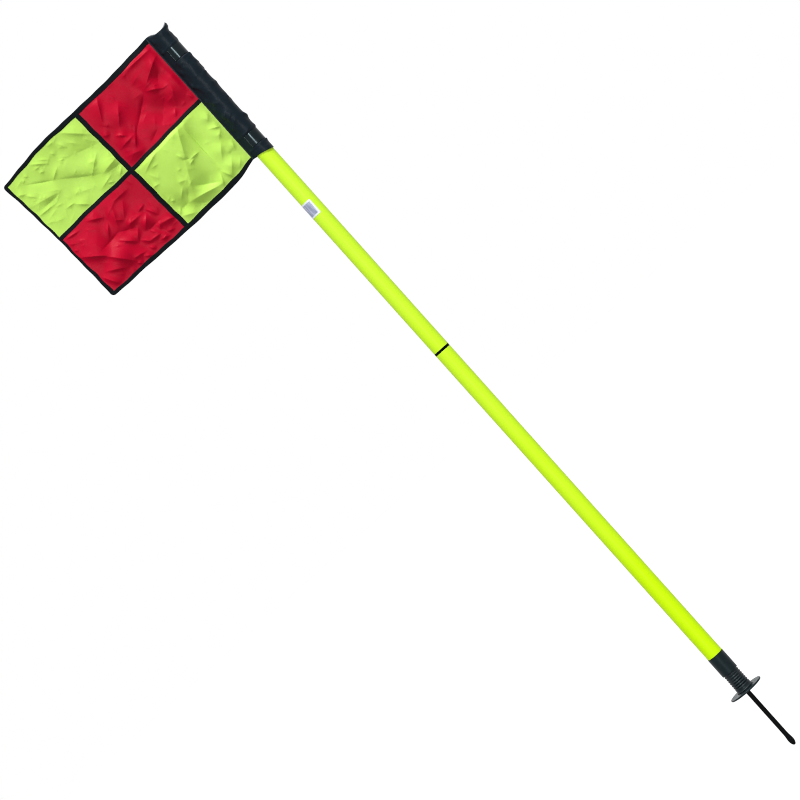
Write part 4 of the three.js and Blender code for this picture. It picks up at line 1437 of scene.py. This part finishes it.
def cornerRows(centre, firstWidth, lastWidth, firstAngle, steps=12):
    # Stations of the binding round a corner
    centre = np.array(centre)
    outer = []
    for k in range(1, steps):
        share = k / steps
        angle = firstAngle + share * math.pi / 2
        radius = mix(firstWidth, lastWidth, share)
        outer.append(centre + radius * np.array([math.cos(angle), math.sin(angle)]))
    return np.array(outer), np.repeat(centre[None, :], steps - 1, 0)


def edgeBinding():
    # One tape folded over the top, fly and bottom edges
    topX, topZ = [float(c) for c in crossing(flyBindingEdge, topBindingEdge)]
    bottomX, bottomZ = [float(c) for c in crossing(flyBindingEdge, bottomBindingEdge)]
    startX = seamX + tape["seamGap"]
    parts = [flyRows(topEdge, topBindingEdge, startX, topX)]
    topWidth = float(topEdge(flyShare(topX)) - topBindingEdge(flyShare(topX)))
    bottomWidth = float(bottomBindingEdge(flyShare(bottomX)) - bottomEdge(flyShare(bottomX)))
    flyWidths = [
        float(flyBindingEdge(hoistShare(z)) - flyEdge(hoistShare(z))) for z in (topZ, bottomZ)
    ]
    parts.append(cornerRows((topX, topZ), topWidth, flyWidths[0], math.pi / 2))
    parts.append(hoistRows(flyEdge, flyBindingEdge, topZ, bottomZ))
    parts.append(cornerRows((bottomX, bottomZ), flyWidths[1], bottomWidth, math.pi))
    parts.append(flyRows(bottomEdge, bottomBindingEdge, bottomX, startX))
    outer = np.concatenate([part[0] for part in parts])
    inner = np.concatenate([part[1] for part in parts])
    return layTape("edgeBinding", "edge_binding", outer, inner, True, True, tape["bindingHalf"])


# The quarters: name, lines on the four sides (near, far, upper, lower), colour, node and flat
# size in metres
quarters = [
    ("panelTopInner", (seamLine, hoistTapeNear, topBindingEdge, crossTapeUpper),
     "red", "panel_top_inner", (0.162, 0.136)),
    ("panelBottomInner", (seamLine, hoistTapeNear, crossTapeLower, bottomBindingEdge),
     "lime", "panel_bottom_inner", (0.158, 0.138)),
    ("panelTopOuter", (hoistTapeFar, flyBindingEdge, topBindingEdge, crossTapeUpper),
     "lime", "panel_top_outer", (0.17, 0.133)),
    ("panelBottomOuter", (hoistTapeFar, flyBindingEdge, crossTapeLower, bottomBindingEdge),
     "red", "panel_bottom_outer", (0.166, 0.13)),
]


def flagPieces():
    lap = tape["lap"]
    topZ = float(topBindingEdge(flyShare(hoistTapeNear(0.04)))) + lap
    bottomZ = float(bottomBindingEdge(flyShare(hoistTapeNear(1.0)))) - lap
    startX, nearX = seamX + tape["seamGap"], float(hoistTapeNear(0.53)) - lap
    farX, flyX = float(hoistTapeFar(0.53)) + lap, float(flyBindingEdge(0.57)) - lap
    cross, half = (crossTapeUpper, crossTapeLower), tape["half"] * tape["crossShare"]
    hoistLine = hoistRows(hoistTapeNear, hoistTapeFar, topZ, bottomZ)
    innerLine, outerLine = flyRows(*cross, startX, nearX), flyRows(*cross, farX, flyX)
    tapes = [
        edgeBinding(),
        layTape("hoistTape", "hoist_tape", *hoistLine, False, False, tape["half"]),
        layTape("crossTapeInner", "cross_tape_inner", *innerLine, False, True, half),
        layTape("crossTapeOuter", "cross_tape_outer", *outerLine, False, False, half),
    ]
    print("tapes laid:", [piece.name for piece, _ in tapes])
    stitching = sew("flagStitching", [line for _, lines in tapes for line in lines])
    bendAtSeam(stitching)
    sheets = [panel(name, *lines, colour, node) for name, lines, colour, node, _ in quarters]
    print("panels laid:", [len(sheet.data.polygons) for sheet in sheets])


# Sleeve and clips

sleeve = {
    "radius": 15.6 * mm,
    "wall": 0.3 * mm,
    "webHalf": 0.66 * mm,
    "slack": 1.55 * mm,
    "slackShares": [
        (0, 0.1), (0.05, 0.35), (0.14, 0.75), (0.3, 1), (0.72, 1), (0.76, 0.55), (0.82, 1),
        (0.9, 0.7), (1, 0.6),
    ],
    "topSlack": 0.45 * mm,
    "hemSlack": 0.9 * mm,
    "hemSlant": 6.5 * mm,
    "hemHeight": 8 * mm,
    "hemProud": 0.28 * mm,
    "shoulder": 0.35 * mm,
    "row": 1.2 * mm,
    "roofRows": 12,
    "clipBulge": 0.5 * mm,
    "bulgeWidth": 2.2 * mm,
    "endClear": 3 * mm,  # where the bulge is highest, from the clip's end
    "clipFade": 2.5 * mm,  # the creases die out over this beside a clip
    "clipReach": 0.5 * mm,  # and the slack this far beyond its end
    "slackRun": 4 * mm,
    "topRun": 5 * mm,
    "hemRun": 12 * mm,
    "creaseStrength": 2.0,
    "ridge": 0.35 * mm,
    "flatSteps": 12,
    "roundSteps": 72,
    "webSteps": 3,
    "hemStitchInset": 1.2 * mm,
    "hemStep": 0.6 * mm,  # height over which the hem stands off the cloth above it
    "hemAtWeb": 0.3,  # share of that at the web
    "hemCurve": 1.3,
    "seamGap": 0.1 * mm,
    "webFlat": 1.5 * mm,  # the web stays flat this far from the seam
    "webFree": 5 * mm,  # and takes all of the creases this much farther on
    "looseSpan": 1.7,  # radii over which the slack sets in, from the flag's side
    "earStart": 0.45,  # shares of the radius between which the ear sets in
    "earRest": 0.55,
    "earPull": 4 * mm,
    "seamHalf": 0.55,  # share of the web's half thickness in the top seam
    "fullness": 1.086,  # girth of the cloth over that of its plain section, read off the mesh
}
# The top seam, as (mm across from the pole's axis, mm above the end cap)
topSeam = [
    (-24, 8.9), (-17.9, 8.9), (-12.2, 7.3), (-8.3, 5), (-5.4, 2.9), (-0.6, 2.4), (5.5, 2.2),
    (10.2, 3.8), (15.6, 6.5), (18.5, 7.9), (19.6, 8.1),
]
# The ear at its far end, as (mm above the end cap, mm that it leans out)
earLean = [(-7, 0), (-4, 1), (-2.7, 1.8), (1, 4.5), (4.9, 5.2), (8.1, 4)]
# Creases of the sleeve as seen from the front, as (mm across, mm above the hem) at both ends and
# then as the flag's creases
sleeveCreases = [
    (15.4, 50.5, -12.5, 35, 0.5, 3.2, 8, 0.9),
    (-10, 38, -8.5, 18, 0.4, 3, 3, 0.5),
    (4, 84.5, -12, 71.5, 0.5, 3, 7, 1.1),
    (1, 92, -15, 77, 0.5, 4, 6, 1.0),
    (-7, 88, -15.5, 80, 0.5, 2.5, 5, 0.8),
    (5, 77, -10, 59, 0.5, 5, 7, 1.0),
    (-9, 64, -17, 54.5, 0.5, 2.6, 5, 0.9),
    (-12, 116, -4, 107, 0.5, 4, 5, 0.7),
    (-10, 107, -18, 98, 0.5, 3, 6, 0.8),
    (-14, 129, -21, 119, 0.5, 4, 5, 0.9),
    (10, 110, 15.4, 104, 0.5, 3.5, 5, 0.9),
    (-1, 203, -10.5, 192, 0.5, 3, 5, 0.9),
    (-4, 195, -12, 185, 0.5, 4, 5, 0.7),
    (-11, 192, -19, 180, 0.5, 4, 6, 1.1),
    (7, 201, 15.4, 194, 0.5, 3, 5, 0.8),
    (11, 190, 15.4, 184, 0.5, 3, 5, 0.8),
    (9, 166, 15.4, 160.5, 0.6, 2.6, 6, 1.1),
    (6, 164, -10, 168, 0.5, 4, 8, 0.6),
    (-13, 163, -20, 152, 0.5, 4, 6, 1.1),
    (-8, 154, -16, 144, 0.5, 5, 6, 0.9),
    (-17, 225, -22, 212, 0.5, 4, 5, 0.9),
    (-12, 239, -21, 226, 0.5, 5, 6, 0.8),
    (14, 258, 8, 246, 0.4, 4, 4, 0.6),
    (5, 262, 1, 250, 0.4, 5, 5, 0.5),
    (-14, 262, -20, 250, 0.5, 5, 5, 0.7),
    (12, 70, 15.4, 62, 0.5, 3, 4, 0.6),
    (13, 145, 8, 132, 0.5, 5, 5, 0.5),
    (2, 140, -8, 128, 0.5, 6, 7, 0.5),
    (-15, 48, -21, 36, 0.5, 4, 5, 0.8),
    (-18, 92, -22, 82, 0.5, 3, 4, 0.8),
    (-12, 20, -20, 9, 0.5, 5, 5, 0.6),
    (12, 12, -6, 7, 0.5, 4, 5, 0.35),
]
sleeveCrumples = {
    "seed": 5,
    "count": 90,
    "behind": (26, 74),  # mm round from the front
    "front": (-26, 26),
    "height": (4, 258),  # mm above the hem
    "length": (8, 24),
    "width": (2.5, 6),
    "slope": (0.08, 0.2),
    "angle": 0.8,
    "angleSpread": 0.35,
    "otherSide": (0.9, 1.6),
    "frontShare": 0.5,  # how high they are on the front
}
clip = {
    "length": 22.5 * mm,
    "wall": 0.9 * mm,
    "inner": 15.75 * mm,
    "halfAngle": math.radians(123.75),
    "lipRadius": 1.1 * mm,
    "lipAngle": math.radians(70),
    "steps": 72,
    "lipSteps": 10,
    "edge": 0.22 * mm,
    "innerEdge": 0.4,  # share of it on the inside
    "upperZ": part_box("clip_upper")[0].z,
    "lowerZ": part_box("clip_lower")[0].z,
}
hemZ = flagTop - flagCloth["hoist"] * 0.999


def sleeveSection():
    # Points (x, y) round the sleeve from the seam's front edge, and how far round from the
    # front each is: the web, a flat that leads off it, and three quarters of a circle
    radius, half = sleeve["radius"], sleeve["webHalf"]
    web, flat, steps = sleeve["webSteps"], sleeve["flatSteps"], sleeve["roundSteps"]
    meet = half - radius * math.sqrt(2)
    touch = -radius / math.sqrt(2)
    start = seamX + sleeve["seamGap"]
    points = [(mix(start, meet, k / web), -half) for k in range(web)]
    points += [(mix(meet, touch, k / flat), mix(-half, touch, k / flat)) for k in range(flat)]
    mirrored = [(x, -y) for x, y in reversed(points)]
    for k in range(steps + 1):
        angle = math.radians(-135 + 270 * k / steps)
        points.append((radius * math.cos(angle), radius * math.sin(angle)))
    points = np.array(points + mirrored)
    run = runAlong(points)
    front = int(np.argmin(points[:len(points) // 2, 1]))
    return points, run - run[front]


def sleeveCrumple():
    # Small creases for the side that the picture doesn't show, and a few on the front
    kind = sleeveCrumples
    draw = random.Random(kind["seed"])
    found = []
    for k in range(kind["count"]):
        behind = k % 3 > 0
        a = draw.uniform(*kind["behind" if behind else "front"])
        h = draw.uniform(*kind["height"])
        length = draw.uniform(*kind["length"])
        angle = kind["angle"] + draw.gauss(0, kind["angleSpread"])
        width = draw.uniform(*kind["width"])
        size = width * draw.uniform(*kind["slope"]) * (1 if behind else kind["frontShare"])
        found.append((
            a, h, a - length * math.cos(angle), h - length * math.sin(angle), 0.5,
            width, width * draw.uniform(*kind["otherSide"]), size,
        ))
    return found


def sleeveOffset(around, frontAt, z):
    # How far the sleeve's cloth stands out from its plain form, in metres
    rows = []
    for found, place in ((sleeveCreases, frontAt), (sleeveCrumple(), float)):
        for a0, h0, a1, h1, peak, low, high, height in found:
            ends = (place(a0 * mm), -h0 * mm, place(a1 * mm), -h1 * mm)
            rows.append((*ends, peak, low * mm, high * mm, height * mm))
    lift = sleeve["creaseStrength"] * roofs(rows, around, hemZ - z, sleeve["ridge"])
    for low in (clip["lowerZ"], clip["upperZ"]):
        middle, half = low + clip["length"] / 2, clip["length"] / 2
        away = np.abs(z - middle) - half
        lift = lift * ease((away + sleeve["clipReach"]) / sleeve["clipFade"])
        bulge = np.exp(-(((away - sleeve["endClear"]) / sleeve["bulgeWidth"]) ** 2))
        lift = lift + sleeve["clipBulge"] * bulge
    return lift


def sleeveSlack(z):
    # The cloth is loose between the clips, tight in them and a little loose beyond them
    top, bottom = clip["upperZ"], clip["lowerZ"] + clip["length"]
    reach, run = sleeve["clipReach"], sleeve["slackRun"]
    share = np.clip((z - bottom) / (top - bottom), 0, 1)
    slack = sleeve["slack"] * along(sleeve["slackShares"], share)
    slack = slack * ease((z - bottom + reach) / run) * ease((top + reach - z) / run)
    above = sleeve["topSlack"] * ease((z - top - clip["length"]) / sleeve["topRun"])
    below = sleeve["hemSlack"] * ease((clip["lowerZ"] - z) / sleeve["hemRun"])
    return slack + above + below


def flagSleeve():
    section, around = sleeveSection()
    x, y = section[:, 0], section[:, 1]
    radius = sleeve["radius"]
    shoulder = capHigh.z + sleeve["shoulder"]
    slant = ease((x - seamX) / (radius - seamX)) ** sleeve["hemCurve"]
    hem = hemZ - sleeve["hemSlant"] * slant
    count = round((shoulder - hemZ) / sleeve["row"])
    half = int(np.argmax(x))

    def frontAt(across):
        return float(np.interp(across, x[:half + 1], around[:half + 1]))

    # Outward directions of the plain section
    step = np.gradient(section, axis=0)
    normal = np.stack([step[:, 1], -step[:, 0]], 1)
    normal /= np.linalg.norm(normal, axis=1)[:, None]
    # Most of the slack is on the side away from the flag.
    loose = ease((x + radius) / (sleeve["looseSpan"] * radius))
    ear = ease((x / radius - sleeve["earStart"]) / sleeve["earRest"])
    seamFree = ease((x - seamX - sleeve["webFlat"]) / sleeve["webFree"])
    earHeights = [(height * mm, lean * mm) for height, lean in earLean]
    lowest, highest = earHeights[0][0], earHeights[-1][0]

    def leanAt(z):
        return along(earHeights, np.clip(z - capHigh.z, lowest, highest)) * ear

    rows, uvs = [], []
    for j in range(count + 1):
        z = mix(hem, shoulder, j / count)
        inHem = ease((sleeve["hemHeight"] - (z - hem)) / sleeve["hemStep"])
        out = sleeveSlack(z) * loose + sleeveOffset(around, frontAt, z) * seamFree
        out = out + sleeve["hemProud"] * inHem * np.maximum(seamFree, sleeve["hemAtWeb"])
        px, py = x + normal[:, 0] * out + leanAt(z), y + normal[:, 1] * out
        rows.append(np.stack([px, py, z], 1))
        uvs.append(np.stack([around, z], 1))
    # The two layers meet in the top seam, which rises to an ear at one end and to the flag at
    # the other.
    last = rows[-1]
    seam = [(across * mm, height * mm) for across, height in topSeam]
    across = np.clip(x + sleeve["earPull"] * ear, seam[0][0], seam[-1][0])
    top = capHigh.z + along(seam, across)
    for k in range(1, sleeve["roofRows"] + 1):
        angle = math.pi / 2 * k / sleeve["roofRows"]
        z = mix(last[:, 2], top, math.sin(angle))
        px = x + (last[:, 0] - x) * math.cos(angle) * (1 - ear) + leanAt(z)
        thin = sleeve["webHalf"] * sleeve["seamHalf"]
        flat = np.sign(last[:, 1]) * np.minimum(np.abs(last[:, 1]), thin)
        py = mix(flat, last[:, 1], math.cos(angle))
        rows.append(np.stack([px, py, z], 1))
        uvs.append(np.stack([around, z], 1))
    points = np.concatenate(rows)
    columns = len(x) - 1
    faces = gridFaces(columns, len(rows) - 1)
    # Close the top seam between its front and back rows.
    start = (len(rows) - 1) * (columns + 1)
    for k in range(columns // 2):
        a, b = start + k, start + k + 1
        c, d = start + columns - k - 1, start + columns - k
        faces.append((a, b, c, d) if b != c else (a, b, d))
    piece = meshFrom("sleeve", points, faces, np.concatenate(uvs))
    cleanMesh(piece, 0.005 * mm)
    applyModifier(piece, "SOLIDIFY", thickness=sleeve["wall"], offset=-1.0, use_even_offset=False)
    finishPiece(piece, "sleeve", smooth=70)
    carry(piece, "sleeve", "black_cloth", "flag_sleeve")
    stitching = sew("sleeveStitching", sleeveSeams(rows, x, hem))
    carry(stitching, "sleeve", "black_cloth")


def sleeveSeams(rows, x, hem):
    # Stitches down both sides of the web and round the hem
    lines = []
    stack = np.array(rows)
    webColumn, firstRow, margin = 2, 3, 4
    count = len(x)
    plain = len(rows) - sleeve["roofRows"]
    for column, side in ((webColumn, -1), (count - 1 - webColumn, 1)):
        lines.append((stack[firstRow:plain, column], (0, side, 0)))
    hemRow = []
    for k in range(margin, count - margin):
        column = stack[:plain, k]
        z = hem[k] + sleeve["hemHeight"] - sleeve["hemStitchInset"]
        hemRow.append([np.interp(z, column[:, 2], column[:, axis]) for axis in (0, 1)] + [z])
    lines.append((np.array(hemRow), lambda p: (p[0] + 0.004, p[1], 0)))
    return lines


def snapClip(name, low, node, body):
    # An open ring with rounded edges, its ends curled out, moulded in glossy plastic
    inner, wall, length = clip["inner"], clip["wall"], clip["length"]
    edge = clip["edge"]
    small = edge * clip["innerEdge"]
    outside, high = inner + wall, low + length
    piece = drawOutline(name, [
        (inner + small, low), (outside - edge, low), (outside, low + edge), (outside, high - edge),
        (outside - edge, high), (inner + small, high), (inner, high - small), (inner, low + small),
    ])
    bpy.ops.mesh.edge_face_add()
    # Half of the ring, from the side away from the flag to the start of the lip, and then the lip.
    half = clip["halfAngle"]
    bpy.ops.mesh.spin(steps=clip["steps"] // 2, angle=half, center=(0, 0, 0), axis=(0, 0, 1))
    outer = inner + wall + clip["lipRadius"]
    centre = (outer * math.cos(half), -outer * math.sin(half), 0)  # a spin turns clockwise here
    bpy.ops.mesh.spin(
        steps=clip["lipSteps"], angle=-clip["lipAngle"], center=centre, axis=(0, 0, 1),
    )
    bpy.ops.object.mode_set(mode="OBJECT")
    applyTransform(piece)
    # The start face sits on the mirror plane y = 0 and goes before the copy is joined on.
    only(piece)
    editAll()
    bpy.ops.mesh.bisect(
        plane_co=(0, 0, 0), plane_no=(0, 1, 0), clear_inner=False, clear_outer=False,
    )
    bpy.ops.mesh.select_mode(type="FACE")
    bpy.ops.object.mode_set(mode="OBJECT")
    for face in piece.data.polygons:
        corners = [piece.data.vertices[v].co for v in face.vertices]
        face.select = all(abs(corner.y) < 0.001 * mm and corner.x > 0 for corner in corners)
    bpy.ops.object.mode_set(mode="EDIT")
    bpy.ops.mesh.delete(type="FACE")
    bpy.ops.mesh.select_mode(type="VERT")
    bpy.ops.object.mode_set(mode="OBJECT")
    applyModifier(
        piece, "MIRROR", use_axis=(False, True, False), use_clip=True, merge_threshold=0.002 * mm,
    )
    cleanMesh(piece, 0.002 * mm)
    finishPiece(piece, "clip", smooth=50, flats=True)
    carry(piece, body, "clip_plastic", node)


def paintNodes():
    # The solids that stay, all inside the neck or the pole's top, take a finished material too
    for node, material in (
        ("foot_core", "black"), ("spike_washer", "steel"),
        ("spike_nut", "steel"), ("end_cap", "black"),
    ):
        for slot in frame["nodes"][node].material_slots:
            slot.material = materials[material]


# Stage: floor, backdrop, lamps and camera

stage = {
    "floorSize": 60.0,
    "floorDrop": 0.2 * mm,  # under the spike's tip
    "whiteShare": 0.84,  # of the floor's look that is plain white to the camera
    "matteSeen": 0.8,
    "matteBounce": 0.16,  # how much light the floor throws back on the flag
    "ambient": 0.28,
    "camera": (-0.1084, -5.016, 0.7474),
    "lens": 135,
    "sight": 100,  # how far the camera sees, in metres
    "lean": math.atan2(0.6669, 0.7452),  # the pole leans this far in the picture
    "lampDistance": 4,
    "lamps": [
        # name, degrees towards -X from the front, height in degrees, softness in degrees, light
        ("keyLamp", 0, 64, 20, 0.84),
        ("leftLamp", 55, 58, 20, 0.27),
        ("rightLamp", -55, 58, 20, 0.42),
        ("frontLamp", 3, 8, 12, 0.32),
        ("backLamp", 165, 45, 40, 0.6),
    ],
}


def whiteToCamera(tree, share):
    # Full where the camera, a gloss or a clear ray looks, so that they all see the white ground
    path = addNode(tree, "ShaderNodeLightPath")
    seen = calculate(tree, "ADD", path.outputs["Is Camera Ray"], path.outputs["Is Glossy Ray"])
    seen = calculate(tree, "ADD", seen, path.outputs["Is Transmission Ray"])
    return calculate(tree, "MINIMUM", seen, share)


def mixShaders(tree, factor, first, second):
    made = addNode(tree, "ShaderNodeMixShader")
    if isinstance(factor, float):
        made.inputs["Fac"].default_value = factor
    else:
        tree.links.new(factor, made.inputs["Fac"])
    tree.links.new(first.outputs[0], made.inputs[1])
    tree.links.new(second.outputs[0], made.inputs[2])
    return made


def makeStage():
    bpy.ops.object.select_all(action="DESELECT")
    bpy.ops.mesh.primitive_plane_add(
        size=stage["floorSize"], location=(0, 0, spikeLow.z - stage["floorDrop"]),
    )
    floor = bpy.context.object
    floor.name = "floor"
    material = bpy.data.materials.new("floorWhite")
    material.use_nodes = True
    tree = material.node_tree
    tree.nodes.clear()
    pale, dull = [
        addNode(tree, "ShaderNodeBsdfDiffuse", {"Color": (grey, grey, grey, 1)})
        for grey in (stage["matteSeen"], stage["matteBounce"])
    ]
    white = addNode(tree, "ShaderNodeEmission", {"Color": (1, 1, 1, 1), "Strength": 1.0})
    paper = mixShaders(tree, stage["whiteShare"], pale, white)
    look = mixShaders(tree, whiteToCamera(tree, 1.0), dull, paper)
    out = addNode(tree, "ShaderNodeOutputMaterial")
    tree.links.new(look.outputs[0], out.inputs["Surface"])
    floor.data.materials.append(material)

    world = bpy.data.worlds.new("studio")
    bpy.context.scene.world = world
    world.use_nodes = True
    tree = world.node_tree
    shader = tree.nodes["Background"]
    shader.inputs["Color"].default_value = (1, 1, 1, 1)
    seen = whiteToCamera(tree, 1.0)
    tree.links.new(between(tree, seen, 0, 1, stage["ambient"], 1.0), shader.inputs["Strength"])

    for name, aside, height, softness, strength in stage["lamps"]:
        light = bpy.data.lights.new(name, "SUN")
        light.angle = math.radians(softness)
        light.energy = strength * math.pi
        lamp = bpy.data.objects.new(name, light)
        aside, height = math.radians(aside), math.radians(height)
        level = math.cos(height)
        way = Vector((-math.sin(aside) * level, -math.cos(aside) * level, math.sin(height)))
        lamp.location = way * stage["lampDistance"]
        lamp.rotation_euler = way.to_track_quat("Z", "Y").to_euler()
        bpy.context.scene.collection.objects.link(lamp)

    camera = bpy.data.objects.new("camera", bpy.data.cameras.new("camera"))
    camera.data.lens = stage["lens"]
    camera.location = stage["camera"]
    camera.rotation_euler = (math.pi / 2, stage["lean"], 0)
    camera.data.clip_end = stage["sight"]
    bpy.context.scene.collection.objects.link(camera)
    bpy.context.scene.camera = camera
    bpy.context.scene.view_settings.view_transform = "Standard"
    bpy.context.scene.cycles.filter_width = 1.0  # the photograph is a sharpened one
    print("stage set")


makeStage()
groundSpike()
stopDisc()
springBoot()
coilSpring()
print("foot and neck made")
poleSocket()
poleTube("lowerTube", lowerLow.z, lowerHigh.z, "lower_pole", "lower_tube")
poleTube("upperTube", upperLow.z, upperHigh.z, "upper_pole", "upper_tube")
poleConnector()
poleLabel()
print("pole made")
flagSleeve()
snapClip("clipUpper", clip["upperZ"], "clip_upper", "upper_clip")
snapClip("clipLower", clip["lowerZ"], "clip_lower", "lower_clip")
flagPieces()
paintNodes()
